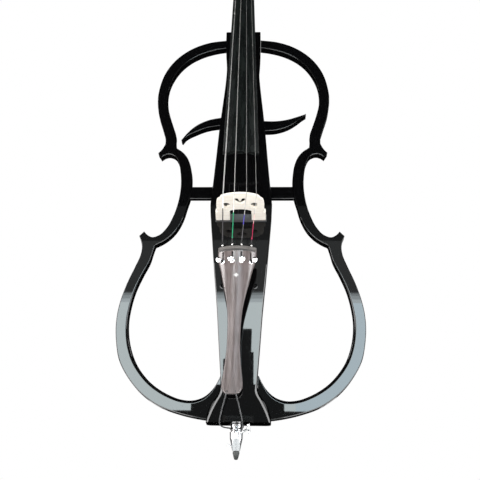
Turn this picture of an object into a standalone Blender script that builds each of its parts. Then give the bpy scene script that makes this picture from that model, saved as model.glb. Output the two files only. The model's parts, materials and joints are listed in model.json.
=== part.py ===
"""Electric cello with an open outline frame, in metres, +Z up, strings facing -Y.

The drawing frame used below is that of a cello maker: x runs across from the middle line of the
body, h stands out from the flat front plate towards the player's bow, and s runs up the
instrument from the bridge line. The world origin is the middle of the endpin's rubber tip.
"""

import math

import bmesh
import bpy
from mathutils import Matrix, Vector

# Driving dimensions of the instrument
STRING_LENGTH = 0.690
BODY_WIDTH = 0.418
BODY_ABOVE = 0.421
BODY_BELOW = 0.348
BODY_DEPTH = 0.046
BODY_CORNER = 0.008
BODY_EDGE = 0.0016
HEEL_DEPTH = 0.040
HEEL_RUN = 0.083
PLATE_CHAMFER = 0.0034
BLOCK_CHAMFER = 0.007
PIN_SHOWN = 0.054
PIN_DEPTH = 0.024
PIN_OFFSET = 0.0035
GAP = 0.0003

# Outline frame, blades and cross bars
FRAME_THICK = 0.016
FRAME_DROP = 0.008
FRAME_SHIFT = 0.0010
BLADE_THICK = 0.016
BLADE_DROP = 0.010
BLADE_ROUND = 0.0008
BAR_THICK = 0.0095
BAR_LOW = 0.0485
BAR_HIGH = 0.0724
BAR_REACH = 0.110
EDGE_ROUND = 0.0012
BOUT_ROUND = 0.0060

# Fingerboard, neck and nut
BOARD_END = 0.105
BOARD_END_H = 0.064
BOARD_SLOPE = 0.118
BOARD_WIDTH_NUT = 0.032
BOARD_WIDTH_END = 0.0635
BOARD_ARCH = 0.063
BOARD_EDGE = 0.0065
NUT_LENGTH = 0.007
NUT_RISE = 0.0015
NECK_DEPTH_NUT = 0.0165
NECK_DEPTH_BODY = 0.022
NECK_MARGIN = 0.0006
FOOT_LENGTH = 0.052
FOOT_WIDTH = 0.034
FOOT_DEPTH = 0.030
FOOT_LAP = 0.004

# Head: pegbox, scroll and pegs
HEAD_TILT = 20.0
HEAD_WIDTH_NUT = 0.036
HEAD_WIDTH_SCROLL = 0.027
BOX_WALL = 0.0052
BOX_START = 0.006
BOX_LENGTH = 0.098
BOX_DEPTH = 0.026
SCROLL_ALONG = 0.139
SCROLL_UP = -0.010
SCROLL_RADIUS = 0.033
SCROLL_SHRINK = 0.118
SCROLL_STEP = 0.0075
SCROLL_EYE = 0.0062
PEG_RADIUS = 0.0062
PEG_TAPER = 0.033
PEG_HEAD_WIDTH = 0.030
PEG_HEAD_LENGTH = 0.034
PEG_UP = -0.009
PEG_SHOWN = 0.003

# Bridge and pickup
BRIDGE_FOOT_HALF = 0.0437
BRIDGE_DRAWN_HALF = 43.7
BRIDGE_HEIGHT = 0.0886
BRIDGE_DRAWN_HEIGHT = 88.6
BRIDGE_THICK = 0.0105
BRIDGE_TOP_THICK = 0.003
BRIDGE_LEAN = 4.5
PICKUP_THICK = 0.0035
PICKUP_SUNK = 0.001
PICKUP_LENGTH = 0.015

# Tailpiece and fine tuners
TAIL_TOP = -0.072
TAIL_LENGTH = 0.240
TAIL_TOP_H = 0.059
TAIL_LOW_H = 0.028
TAIL_X_TOP = -0.0036
TAIL_X_LOW = -0.0104
TAIL_THICK = 0.007
TAIL_ARCH = 0.055
TAIL_ARCH_LOW = 0.030
TAIL_ARCH_RUN = 0.150
FRET_ALONG = 0.0078
FRET_WIDTH = 0.0030
FRET_HALF = 0.0290
FRET_RISE = 0.0016
FRET_SUNK = 0.0020
INLAY_ALONG = 0.050
INLAY_REACH = 0.0036
INLAY_RISE = 0.0009
INLAY_SUNK = 0.0016
SADDLE_HALF = 0.0245
SADDLE_SLOPE = 0.0050
SADDLE_HEIGHT = 0.0055
SADDLE_SUNK = 0.004
SADDLE_LENGTH = 0.009
TUNER_BACK = 0.0262
TUNER_OUTER = 0.0228
TUNER_INNER = 0.0074
TUNER_TRAVEL = 0.0020
SCREW_RADIUS = 0.0015
SCREW_HEAD_RADIUS = 0.0052
SCREW_HEAD_LENGTH = 0.005
POST_TOP = 0.0052
SCREW_HEAD_UP = POST_TOP + TUNER_TRAVEL + 0.0043
POST_RADIUS = 0.003
NUT_RADIUS = 0.0048
NUT_THICK = 0.0024
LEVER_WIDTH = 0.005
LEVER_THICK = 0.002
PIVOT_ALONG = 0.013
PIVOT_UP = -0.0133
TUNER_HALF = 0.0045
TUNER_REACH = 0.0165
EAR_INNER = 0.0031
EAR_HALF = 0.0029
PIVOT_RADIUS = 0.0009
BARREL_AROUND_PIVOT = 0.0023
HOOK_ALONG = 0.0292
HOOK_UP = 0.0035
BALL_RADIUS = 0.0019
GUT_SUNK = 0.0075
GUT_RADIUS = 0.0011

# Endpin
PLUG_RADIUS = 0.012
PLUG_LENGTH = 0.036
COLLAR_RADIUS = 0.0090
GROOVE_RADIUS = 0.0080
GROOVE_TOP = 0.0484
GROOVE_LOW = 0.0456
NECK_RADIUS = 0.0082
BARREL_RADIUS = 0.0105
BARREL_TOP = 0.0418
BARREL_LOW = 0.0315
CONE_END_RADIUS = 0.0058
CONE_LOW = 0.0128
SLIT_WIDTH = 0.0008
SLIT_TOP = 0.0385
ROD_RADIUS = 0.004
ROD_TOP = 0.424
ROD_CLEAR = 0.0004
TIP_RADIUS = 0.0051
TIP_FLAT = 0.0024
TIP_LENGTH = 0.0125

# Electronics behind the fingerboard end
COVER_LOW = 0.056
COVER_LENGTH = 0.164
COVER_HALF = 0.0305
COVER_THICK = 0.002
CAVITY_MARGIN = 0.005
CAVITY_DEPTH = 0.026
BATTERY_LENGTH = 0.0485
BATTERY_WIDTH = 0.0265
BATTERY_THICK = 0.0172
KNOB_RADIUS = 0.009
KNOB_LENGTH = 0.012
SHAFT_RADIUS = 0.003
POT_RADIUS = 0.008
POT_DEPTH = 0.008

# Strings: name, place across at the bridge, place across at the nut, radius
STRINGS = (
    ("c", -0.0278, -0.0110, 0.00085),
    ("g", -0.0088, -0.0037, 0.00065),
    ("d", 0.0114, 0.0037, 0.00050),
    ("a", 0.0276, 0.0110, 0.00040),
)

MM = 0.001
WELD = 0.000002
BRIDGE_LINE = PIN_SHOWN + BODY_BELOW
PLATE_Y = -PIN_DEPTH

# Size in millimetres at which the points of the plan are drawn
DRAWN_WIDTH = 418
DRAWN_ABOVE = 421
DRAWN_BELOW = 348

# Colour, roughness and metallic value of each finish
FINISHES = {
    "piano_black": ((0.006, 0.006, 0.007), 0.08, 0.0),
    "board_black": ((0.012, 0.014, 0.013), 0.38, 0.0),
    "ebony": ((0.015, 0.013, 0.012), 0.35, 0.0),
    "rosewood": ((0.10, 0.055, 0.045), 0.22, 0.0),
    "maple": ((0.80, 0.66, 0.47), 0.45, 0.0),
    "chrome": ((0.82, 0.82, 0.84), 0.10, 1.0),
    "steel": ((0.55, 0.55, 0.56), 0.30, 1.0),
    "cord_black": ((0.02, 0.02, 0.022), 0.50, 0.0),
    "rubber": ((0.02, 0.02, 0.02), 0.70, 0.0),
    "plastic_black": ((0.02, 0.02, 0.02), 0.45, 0.0),
    "board_green": ((0.02, 0.16, 0.07), 0.40, 0.0),
    "pearl": ((0.86, 0.86, 0.84), 0.20, 0.0),
    "battery": ((0.10, 0.10, 0.11), 0.35, 0.0),
}


def at(x, h, s):
    """World point of a place in the drawing frame."""
    return Vector((PIN_OFFSET + x, PLATE_Y - h, BRIDGE_LINE + s))


def drawing_axes(origin, across, up, out):
    """Matrix whose local X, Y and Z run along three directions given in the drawing frame."""
    columns = [Vector((v[0], -v[1], v[2])).normalized() for v in (across, up, out)]
    matrix = Matrix(columns).transposed().to_4x4()
    matrix.translation = at(*origin)
    return matrix


def front_plane(h):
    """Matrix that lays a flat outline (x, s) parallel to the front plate, at height h."""
    return drawing_axes((0, h, 0), (1, 0, 0), (0, 0, 1), (0, 1, 0))


def plan(points):
    """Plan points drawn in millimetres, stretched to the body's real size, in metres."""
    wide = BODY_WIDTH / DRAWN_WIDTH
    above, below = BODY_ABOVE / DRAWN_ABOVE, BODY_BELOW / DRAWN_BELOW
    return [(x * wide, s * (above if s > 0 else below)) for x, s in points]


def smooth(knots, steps):
    """Points on one smooth curve through the knots: cubic pieces with shared tangents."""
    points = [Vector(knot) for knot in knots]
    spans = [(b - a).length for a, b in zip(points, points[1:])]
    slopes = [(b - a) / d for a, b, d in zip(points, points[1:], spans)]
    tangents = [slopes[0]]
    for i in range(1, len(spans)):
        near, far = spans[i - 1], spans[i]
        tangents.append((slopes[i - 1] * far + slopes[i] * near) / (near + far))
    tangents.append(slopes[-1])
    curve = []
    for i, d in enumerate(spans):
        for k in range(steps):
            u = k / steps
            a = (2 * u**3 - 3 * u**2 + 1) * points[i]
            b = (u**3 - 2 * u**2 + u) * d * tangents[i]
            c = (3 * u**2 - 2 * u**3) * points[i + 1]
            e = (u**3 - u**2) * d * tangents[i + 1]
            curve.append(tuple(a + b + c + e))
    curve.append(tuple(points[-1]))
    return curve


def value_at(curve, s):
    """First value of a curve of (value, s) points at s, in straight steps between them."""
    rows = sorted(curve, key=lambda row: row[1])
    if s <= rows[0][1]:
        return rows[0][0]
    for low, high in zip(rows, rows[1:]):
        if s <= high[1]:
            share = (s - low[1]) / (high[1] - low[1])
            return low[0] + share * (high[0] - low[0])
    return rows[-1][0]


def new_object(name, data, collection):
    """An object of this data in a collection."""
    obj = bpy.data.objects.new(name, data)
    collection.objects.link(obj)
    return obj


def baked(obj, weld=True):
    """The object's evaluated mesh in world space. The object is removed."""
    bpy.context.view_layer.update()
    graph = bpy.context.evaluated_depsgraph_get()
    mesh = bpy.data.meshes.new_from_object(obj.evaluated_get(graph), depsgraph=graph)
    mesh.transform(obj.matrix_world)
    bpy.data.objects.remove(obj)
    if not weld:
        return mesh
    bm = bmesh.new()
    bm.from_mesh(mesh)
    bmesh.ops.remove_doubles(bm, verts=bm.verts, dist=WELD)
    bm.to_mesh(mesh)
    bm.free()
    return mesh


def from_bmesh(bm, matrix):
    """A mesh of this bmesh moved by a matrix, with its faces pointing out."""
    bmesh.ops.recalc_face_normals(bm, faces=bm.faces)
    mesh = bpy.data.meshes.new("solid")
    bm.to_mesh(mesh)
    bm.free()
    mesh.transform(matrix)
    return mesh


def box(low, high, matrix=Matrix.Identity(4)):
    """A box between two corners."""
    bm = bmesh.new()
    bmesh.ops.create_cube(bm, size=1.0)
    low, high = Vector(low), Vector(high)
    size = high - low
    for vert in bm.verts:
        vert.co = Vector([vert.co[i] * size[i] for i in range(3)]) + (low + high) / 2
    return from_bmesh(bm, matrix)


def front_box(x0, x1, h0, h1, s0, s1):
    """A box between limits in the drawing frame."""
    return box(at(x0, h1, s0), at(x1, h0, s1))


def round_bar(start, end, radius, sides, end_radius=None):
    """A cylinder, or a cone where the end radius differs, between two world points."""
    start, end = Vector(start), Vector(end)
    bm = bmesh.new()
    bmesh.ops.create_cone(
        bm,
        cap_ends=True,
        segments=sides,
        radius1=radius,
        radius2=radius if end_radius is None else end_radius,
        depth=(end - start).length,
    )
    turn = Vector((0, 0, 1)).rotation_difference(end - start).to_matrix().to_4x4()
    return from_bmesh(bm, Matrix.Translation((start + end) / 2) @ turn)


def turned(profile, steps, matrix=Matrix.Identity(4)):
    """A turned solid: the (radius, z) profile runs down its outer side, top to bottom."""
    mesh = bpy.data.meshes.new("profile")
    edges = [(i, i + 1) for i in range(len(profile) - 1)]
    mesh.from_pydata([(r, 0, z) for r, z in profile], edges, [])
    obj = new_object("profile", mesh, bpy.context.scene.collection)
    screw = obj.modifiers.new("Turn", "SCREW")
    screw.steps = steps
    screw.render_steps = steps
    screw.use_merge_vertices = True
    screw.merge_threshold = 0.00001
    solid = baked(obj)
    solid.transform(matrix)
    return solid


def sheet(loops, thickness, matrix):
    """A flat outline given a thickness, half each side of its plane."""
    curve = bpy.data.curves.new("outline", "CURVE")
    curve.dimensions = "2D"
    curve.fill_mode = "BOTH"
    curve.extrude = thickness / 2
    for loop in loops:
        spline = curve.splines.new("POLY")
        spline.points.add(len(loop) - 1)
        for point, (x, y) in zip(spline.points, loop):
            point.co = (x, y, 0, 1)
        spline.use_cyclic_u = True
    obj = new_object("outline", curve, bpy.context.scene.collection)
    solid = baked(obj)
    solid.transform(matrix)
    return solid


def tube(points, radius, resolution=2):
    """A round cord through world points."""
    curve = bpy.data.curves.new("route", "CURVE")
    curve.dimensions = "3D"
    curve.bevel_depth = radius
    curve.bevel_resolution = resolution
    curve.use_fill_caps = True
    spline = curve.splines.new("POLY")
    spline.points.add(len(points) - 1)
    for point, place in zip(spline.points, points):
        point.co = (*place, 1)
    return baked(new_object("route", curve, bpy.context.scene.collection))


def loft(rings, matrix=Matrix.Identity(4)):
    """A closed skin over rings of the same number of points."""
    bm = bmesh.new()
    rows = [[bm.verts.new(point) for point in ring] for ring in rings]
    count = len(rows[0])
    for low, high in zip(rows, rows[1:]):
        for i in range(count):
            j = (i + 1) % count
            bm.faces.new((low[i], low[j], high[j], high[i]))
    bm.faces.new(rows[0][::-1])
    bm.faces.new(rows[-1])
    return from_bmesh(bm, matrix)


def combined(base, others, operation):
    """The base mesh after a Boolean with each other mesh."""
    scene = bpy.context.scene.collection
    for other in others:
        body = new_object("base", base, scene)
        tool = new_object("tool", other, scene)
        step = body.modifiers.new("Boolean", "BOOLEAN")
        step.operation = operation
        step.object = tool
        base = baked(body, False)
        bpy.data.objects.remove(tool)
    return base


def fused(base, *others):
    """The base joined with the other meshes as one solid."""
    return combined(base, others, "UNION")


def carved(base, *others):
    """The base with the other meshes cut away."""
    return combined(base, others, "DIFFERENCE")


def rounded(mesh, width, segments=2, angle=40.0):
    """The mesh with its sharp edges rounded."""
    obj = new_object("rounding", mesh, bpy.context.scene.collection)
    bevel = obj.modifiers.new("Round", "BEVEL")
    bevel.width = width
    bevel.segments = segments
    bevel.limit_method = "ANGLE"
    bevel.angle_limit = math.radians(angle)
    bevel.harden_normals = False
    return baked(obj)


def finish(name):
    """The Principled material of one finish."""
    found = bpy.data.materials.get(name)
    if found:
        return found
    colour, roughness, metallic = FINISHES[name]
    material = bpy.data.materials.new(name)
    material.use_nodes = True
    shader = material.node_tree.nodes["Principled BSDF"]
    shader.inputs["Base Color"].default_value = (*colour, 1.0)
    shader.inputs["Roughness"].default_value = roughness
    shader.inputs["Metallic"].default_value = metallic
    material.diffuse_color = (*colour, 1.0)
    return material


def node(name, mesh, finish_name, origin=(0, 0, 0)):
    """A named part of the instrument, with its origin at a world point."""
    mesh.transform(Matrix.Translation(-Vector(origin)))
    mesh.name = name
    mesh.materials.clear()
    mesh.materials.append(finish(finish_name))
    mesh.shade_smooth()
    mesh.set_sharp_from_angle(angle=math.radians(35))
    obj = new_object(name, mesh, bpy.data.collections["electric_cello"])
    obj.location = origin
    return obj


def cut(obj, mesh, name):
    """Cuts a mesh from an object with a live Boolean. The cutter is kept hidden."""
    cutter = new_object(name, mesh, bpy.data.collections["cutters"])
    cutter.hide_render = True
    cutter.display_type = "WIRE"
    step = obj.modifiers.new(name, "BOOLEAN")
    step.operation = "DIFFERENCE"
    step.object = cutter


def board_width(s):
    """Width of the fingerboard at s."""
    share = (s - BOARD_END) / (STRING_LENGTH - BOARD_END)
    return BOARD_WIDTH_END + share * (BOARD_WIDTH_NUT - BOARD_WIDTH_END)


def board_top(s):
    """Height of the fingerboard's middle at s."""
    return BOARD_END_H - BOARD_SLOPE * (s - BOARD_END)


def arch_drop(radius, across):
    """How far an arched surface has fallen at a distance from its middle."""
    return radius - math.sqrt(radius**2 - across**2)


def board_under(s):
    """Height of the fingerboard's flat underside at s."""
    return board_top(s) - arch_drop(BOARD_ARCH, board_width(s) / 2) - BOARD_EDGE


def body_half():
    """Half width of the centre body against s, along its sides."""
    upper = [(34.4, 421), (34.4, 385), (33.2, 357), (31.6, 332), (32.6, 306), (35.1, 275)]
    middle = [(38.5, 240), (43.2, 189), (47.4, 130), (51.9, 73), (55.2, 32), (53.2, 0)]
    lower = [(49.7, -40), (44.4, -102), (38.5, -162), (34.6, -215), (31.0, -262)]
    flare = [(29.6, -286), (30.8, -299), (35.8, -308), (42.6, -317), (46.8, -326)]
    return smooth(plan(upper + middle + lower + flare + [(50.8, -341), (51.6, -348)]), 2)


def plate_half(s):
    """Half width of the flat front plate at s, inside the tail block's sloping sides."""
    knots = [(32.0, -240), (29.4, -268), (26.6, -290), (26.0, -302), (32.4, -313.5)]
    edge = plan(knots + [(39.0, -326), (43.6, -336), (48.0, -348)])
    inner = value_at(smooth(edge, 2), s)
    return min(inner, value_at(body_half(), s) - BODY_EDGE) if s < edge[0][1] else None


def body_section(half, s):
    """Half section of the centre body at s, as (x, h) points from front to back."""
    plate = plate_half(s)
    front = half - BODY_EDGE if plate is None else plate
    drop = BODY_EDGE if plate is None else min(FRAME_DROP, BODY_EDGE + (half - front))
    chamfer = min(PLATE_CHAMFER, 0.55 * (half - front))
    rise = max(0.0, (s - BODY_ABOVE + HEEL_RUN) / HEEL_RUN)
    low = max(0.0, BLOCK_CHAMFER - BODY_BELOW - s)
    depth = BODY_DEPTH + rise * (HEEL_DEPTH - BODY_DEPTH) - low
    rows = [(front, 0.0), (front + chamfer, -chamfer / 2), (half, -drop)]
    for turn in (0, 30, 60, 90):
        swing = math.radians(turn)
        x = half - BODY_CORNER + BODY_CORNER * math.cos(swing)
        rows.append((x, -(depth - BODY_CORNER) - BODY_CORNER * math.sin(swing)))
    return rows


def side_half(grow=0.0):
    """The centre body's plan as a closed outline, grown outwards by a gap."""
    right = [(half + grow, s) for half, s in body_half()]
    top, low = right[0], right[-1]
    right = [(top[0], top[1] + grow), *right, (low[0], low[1] - grow)]
    return right + [(-x, s) for x, s in reversed(right)]


def neck_foot_box(grow):
    """The neck's foot, or the mortise for it where it is grown by a gap."""
    low, high = BODY_ABOVE - FOOT_LENGTH - grow, BODY_ABOVE + FOOT_LAP
    half = FOOT_WIDTH / 2 + grow
    rings = []
    for s in (low, high):
        top = board_under(s) - 2 * GAP + (0.02 if grow else 0.0)
        under = -FOOT_DEPTH - grow
        corners = [(-half, under), (half, under), (half, top), (-half, top)]
        rings.append([at(x, h, s) for x, h in corners])
    return loft(rings)


def make_body():
    """The centre body: a beam with its endpin bore, neck mortise and recesses."""
    rings = []
    for half, s in body_half():
        right = body_section(half, s)
        ring = right + [(-x, h) for x, h in reversed(right)]
        rings.append([at(x, h, s) for x, h in ring])
    body = node("centre_body", loft(rings), "piano_black")
    cut(body, neck_foot_box(GAP), "neck_mortise")
    plug = round_bar(
        (0, 0, PIN_SHOWN - 0.01),
        (0, 0, PIN_SHOWN + PLUG_LENGTH + GAP),
        PLUG_RADIUS + 2 * GAP,
        24,
    )
    bore = round_bar(
        (0, 0, PIN_SHOWN + PLUG_LENGTH - 0.002),
        (0, 0, ROD_TOP + 0.004),
        ROD_RADIUS + 3 * ROD_CLEAR,
        16,
    )
    cut(body, fused(plug, bore), "endpin_bore")
    cut(body, cavity(), "electronics_cavity")
    cut(body, cover_box(GAP), "cover_recess")
    cut(body, pickup_box(GAP), "pickup_recess")
    cut(body, lead_bore(), "lead_bore")
    cut(body, saddle_box(GAP), "saddle_recess")


def cavity():
    """The space for the electronics, open at the back."""
    half = COVER_HALF - CAVITY_MARGIN
    low = COVER_LOW + CAVITY_MARGIN
    high = COVER_LOW + COVER_LENGTH - CAVITY_MARGIN
    return front_box(-half, half, -BODY_DEPTH - 0.01, -BODY_DEPTH + CAVITY_DEPTH, low, high)


def cover_box(grow):
    """The back cover's plate, let into the back. Grown, it is the recess."""
    outer = -BODY_DEPTH - (0.01 if grow else 0.0)
    return front_box(
        -COVER_HALF - grow,
        COVER_HALF + grow,
        outer,
        -BODY_DEPTH + COVER_THICK + grow,
        COVER_LOW - grow,
        COVER_LOW + COVER_LENGTH + grow,
    )


def pickup_box(grow):
    """The pickup strip under the bridge, or its shallow recess where it is grown."""
    top = PICKUP_THICK - PICKUP_SUNK + (0.01 if grow else 0.0)
    half = BRIDGE_FOOT_HALF + 0.0015 + grow
    low = BRIDGE_THICK / 2 - PICKUP_LENGTH / 2
    return front_box(-half, half, -PICKUP_SUNK - grow, top, low - grow, low + PICKUP_LENGTH + grow)


def saddle_box(grow):
    """The lower saddle's block, or its recess in the body's bottom edge where it is grown."""
    low = -BODY_BELOW - (0.01 if grow else 0.0)
    high = -BODY_BELOW + SADDLE_LENGTH + grow
    half, under = SADDLE_HALF + grow, -SADDLE_SUNK - grow
    if grow:
        return front_box(-half, half, under, SADDLE_HEIGHT + 0.01, low, high)
    shoulder = GAP + 0.0006
    outline = [
        (-half, under), (half, under), (half, shoulder), (half - SADDLE_SLOPE, SADDLE_HEIGHT),
        (SADDLE_SLOPE - half, SADDLE_HEIGHT), (-half, shoulder),
    ]
    matrix = drawing_axes((0, 0, (low + high) / 2), (1, 0, 0), (0, 1, 0), (0, 0, -1))
    return sheet([outline], SADDLE_LENGTH, matrix)


LEAD_X = -0.020
LEAD_RADIUS = 0.0010


def lead_line():
    """Start and direction of the straight hole for the pickup's wire, sloping into the cavity."""
    start = at(LEAD_X, 0.0, BRIDGE_THICK / 2)
    end = at(LEAD_X, BODY_DEPTH * -0.63, COVER_LOW + CAVITY_MARGIN + 0.008)
    return start, end - start


def lead_bore():
    """The slanting hole that leads the pickup's wire from under the bridge to the cavity."""
    start, reach = lead_line()
    ahead = reach.normalized()
    return round_bar(start - ahead * 0.01, start + reach + ahead * 0.004, LEAD_RADIUS + 0.0008, 12)


# Inner edge of the frame at its waist, from the lower corner up to the upper one
WAIST = (
    (151.8, -43.2), (142.5, -38.6), (127, -27.2), (116.8, -15.2), (105.4, 8.3), (98.8, 33),
    (93.6, 54), (91.9, 78), (93.4, 104), (97.4, 122), (103.6, 136.2), (111.6, 146.2),
    (124.2, 155.6),
)

# Inner edge of the frame's lower bout, from the tail block round to the lower corner
LOWER_BOUT = (
    (31, -273.5), (38.6, -288.4), (46.6, -298.8), (57.5, -307.3), (75, -312.6), (94.4, -311.1),
    (111.4, -305.2), (129.5, -295.7), (145, -284.3), (158.8, -269.8), (171, -252.5),
    (181.7, -228), (187.6, -203), (189.2, -180), (187.1, -156), (181.6, -129.2), (169.7, -96.8),
    (159.6, -73.7), (154.8, -54.2), (151.8, -43.2),
)


def frame_outline():
    """The right half of the outline frame in plan: outer edge down, then inner edge up."""
    stretches = [
        [(30, 407.6), (68, 402), (103, 387.2), (136.6, 357.6), (154.4, 327.4), (163.9, 292),
         (166.1, 264), (161.5, 229), (151.6, 196.3), (146.1, 175.5), (145.6, 164)],
        [(145.6, 164), (150, 154.3), (157.6, 144.3)],
        [(157.6, 144.3), (151.4, 134.8)],
        [(151.4, 134.8), (144, 140.2), (137, 141.8), (130.6, 140.2), (124.6, 136.2),
         (120.3, 129.4), (117.6, 122.4), (114.6, 107.2), (112.6, 88), (112.7, 64), (116.5, 37),
         (123.5, 12), (133.8, -10), (146, -23.4), (158.5, -27.4), (166.6, -23.4), (173, -16.8)],
        [(173, -16.8), (181.2, -25.6)],
        [(181.2, -25.6), (177.2, -36.3), (175, -47), (176.2, -60), (184, -83), (194.5, -110),
         (203.5, -140), (208.3, -168), (209, -190), (206.3, -217), (198.5, -249),
         (182.5, -276.5), (159.3, -302.3), (130.6, -321.7), (97.5, -333.8), (62, -341.6),
         (40, -344.4)],
        [(40, -344.4), (22, -300), (25, -272)],
        [(25, -272), LOWER_BOUT[0]],
        LOWER_BOUT,
        WAIST,
        [WAIST[-1], (126, 172), (126.1, 183), (130.8, 198.4), (139.4, 225.5), (145.3, 250),
         (147.2, 271), (144.6, 295.8), (136.5, 319.4), (124.6, 340), (107, 358.8), (81.8, 374.6),
         (53.8, 384.2), (28, 388.8)],
    ]
    outline = []
    for knots in stretches:
        outline += smooth(plan(knots), 1 if len(knots) == 2 else 2)[:-1]
    outline.append(plan([stretches[-1][-1]])[0])
    return outline


def mirrored(outline, side, shift=0.0):
    """A right-hand outline, or its mirror image for the left side, moved across by a shift."""
    return [(side * x + shift, s) for x, s in outline]


def bout_weights(side):
    """Share of the lower bout's full rounding at each point of its inner edge."""
    points = smooth(plan(LOWER_BOUT), 2)
    least = EDGE_ROUND / BOUT_ROUND
    weights = []
    for number, point in enumerate(points):
        share = number / (len(points) - 1)
        weight = max(least, min(1.0, share / 0.2, (1.0 - share) / 0.45))
        weights.append((Vector(mirrored([point], side, FRAME_SHIFT)[0]), weight))
    return weights


def frame_rounded(mesh, side):
    """The flat frame half with its edges rounded, most of all inside the lower bout, in front."""
    bm = bmesh.new()
    bm.from_mesh(mesh)
    bmesh.ops.dissolve_limit(bm, angle_limit=math.radians(0.2), verts=bm.verts, edges=bm.edges)
    least = EDGE_ROUND / BOUT_ROUND
    layer = bm.edges.layers.float.new("bevel_weight_edge")
    found = {}
    for vert in bm.verts:
        near = [w for p, w in bout_weights(side) if (p - vert.co.xy).length < WELD]
        found[vert] = near[0] if near and vert.co.z > 0 else None
    for edge in bm.edges:
        if edge.calc_face_angle(0.0) > math.radians(40):
            ends = [found[vert] for vert in edge.verts]
            edge[layer] = least if None in ends else sum(ends) / 2
    bm.to_mesh(mesh)
    bm.free()
    obj = new_object("rounding", mesh, bpy.context.scene.collection)
    bevel = obj.modifiers.new("Round", "BEVEL")
    bevel.width = BOUT_ROUND
    bevel.segments = 2
    bevel.limit_method = "WEIGHT"
    return baked(obj)


def make_frames():
    """The two halves of the outline frame, cut to the sides of the centre body."""
    middle = -FRAME_DROP - FRAME_THICK / 2
    for name, side in (("frame_left", -1), ("frame_right", 1)):
        outline = mirrored(frame_outline(), side, FRAME_SHIFT)
        half = frame_rounded(sheet([outline], FRAME_THICK, Matrix.Identity(4)), side)
        half.transform(front_plane(middle))
        body = sheet([side_half(GAP)], 0.2, front_plane(middle))
        node(name, carved(half, body), "piano_black")


def blade_outline(side):
    """One sickle-shaped blade: the left one droops to its tip, the right one rises."""
    if side < 0:
        upper = [(-20, 226), (-41, 223.6), (-65.6, 218), (-88.6, 205.4), (-105, 188.6), (-115, 174)]
        lower = [(-107, 180), (-88.2, 192), (-65.1, 201.7), (-43.2, 205.6), (-20, 206)]
        tip = [(-115, 174), (-112.6, 171.9)]
    else:
        upper = [(20, 217), (41, 215.8), (63.2, 215.4), (86.4, 219), (104, 224.8), (121.4, 231.4)]
        lower = [(112.8, 223), (106.2, 217), (86.2, 203), (63, 195.2), (41.2, 194), (20, 195.5)]
        tip = [(121.4, 231.6), (121.2, 229.2)]
    outline = smooth(plan(upper), 2)[:-1] + smooth(plan(tip), 1)[:-1]
    return outline + smooth(plan([tip[-1]] + lower), 2)


def make_blades():
    """The two blades that stand out of the centre body's sides under the fingerboard."""
    middle = -BLADE_DROP - BLADE_THICK / 2
    body = [side_half(GAP)]
    for name, side in (("blade_left", -1), ("blade_right", 1)):
        blank = sheet([blade_outline(side)], BLADE_THICK, front_plane(middle))
        blade = carved(blank, sheet(body, 0.2, front_plane(middle)))
        node(name, rounded(blade, BLADE_ROUND, 1), "piano_black")


def make_bars():
    """The cross bars that tie the frame's waist to the centre body by the bridge."""
    middle = -FRAME_DROP - BAR_THICK / 2
    for name, side in (("cross_bar_left", -1), ("cross_bar_right", 1)):
        bar = [(0.03, BAR_LOW), (BAR_REACH, BAR_LOW), (BAR_REACH, BAR_HIGH), (0.03, BAR_HIGH)]
        blank = sheet([mirrored(bar, side)], BAR_THICK, front_plane(middle))
        solid = rounded(blank, EDGE_ROUND / 2, 1)
        body = sheet([side_half(GAP)], 0.2, front_plane(middle))
        frame = sheet([mirrored(bar_stop(), side, FRAME_SHIFT)], 0.2, front_plane(middle))
        node(name, carved(solid, body, frame), "piano_black")


def bar_stop():
    """The plan of the frame's waist as the cross bar meets it, with the gap left clear."""
    edge = [(x - GAP, s) for x, s in smooth(plan(WAIST), 2)]
    return edge + [(BODY_WIDTH, edge[-1][1]), (BODY_WIDTH, edge[0][1])]


def board_ring(s, clearance=0.0):
    """Section of the fingerboard at s: flat under, arched over."""
    half = board_width(s) / 2
    ring = []
    for i in range(13):
        x = half * (1 - i / 6)
        ring.append(at(x, board_top(s) - arch_drop(BOARD_ARCH, x) + clearance, s))
    under = board_under(s)
    return [at(half, under, s), *ring, at(-half, under, s)]


def make_board():
    """The arched fingerboard, hollowed underneath where it overhangs the body."""
    stations = [BOARD_END + i * (STRING_LENGTH - BOARD_END) / 6 for i in range(7)]
    board = rounded(loft([board_ring(s) for s in stations]), 0.0008, 1, 60)
    hollow = []
    for s in (BOARD_END - 0.01, BODY_ABOVE - FOOT_LENGTH - 0.012):
        half = board_width(s) / 2 - 0.008
        top = board_under(s) + 0.0045
        under = board_under(s) - 0.01
        profile = [(-half, under), (half, under), (half * 0.55, top), (-half * 0.55, top)]
        hollow.append([at(x, h, s) for x, h in profile])
    node("fingerboard", carved(board, loft(hollow)), "board_black")


def neck_ring(s, depth, half):
    """Section of the neck at s: flat top under the fingerboard, round back."""
    top = board_under(s) - GAP
    ring = [(half, top)]
    for i in range(11):
        turn = math.pi * i / 10
        x = half * math.cos(turn)
        ring.append((x, top - 0.004 - (depth - 0.004) * math.sin(turn) ** 0.8))
    ring.append((-half, top))
    return [at(x, h, s) for x, h in ring]


def neck_shape():
    """The neck's depth below the fingerboard against s, from the heel to the nut."""
    heel = board_under(BODY_ABOVE) - GAP + HEEL_DEPTH - 0.002
    start = BODY_ABOVE + GAP
    knots = [
        (heel, start),
        (heel - 0.0005, start + 0.008),
        (heel - 0.010, start + 0.022),
        (NECK_DEPTH_BODY + 0.007, start + 0.040),
        (NECK_DEPTH_BODY, start + 0.066),
        (NECK_DEPTH_NUT + 0.001, STRING_LENGTH - 0.02),
        (NECK_DEPTH_NUT, STRING_LENGTH + NUT_LENGTH),
    ]
    return smooth(knots, 3)


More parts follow.
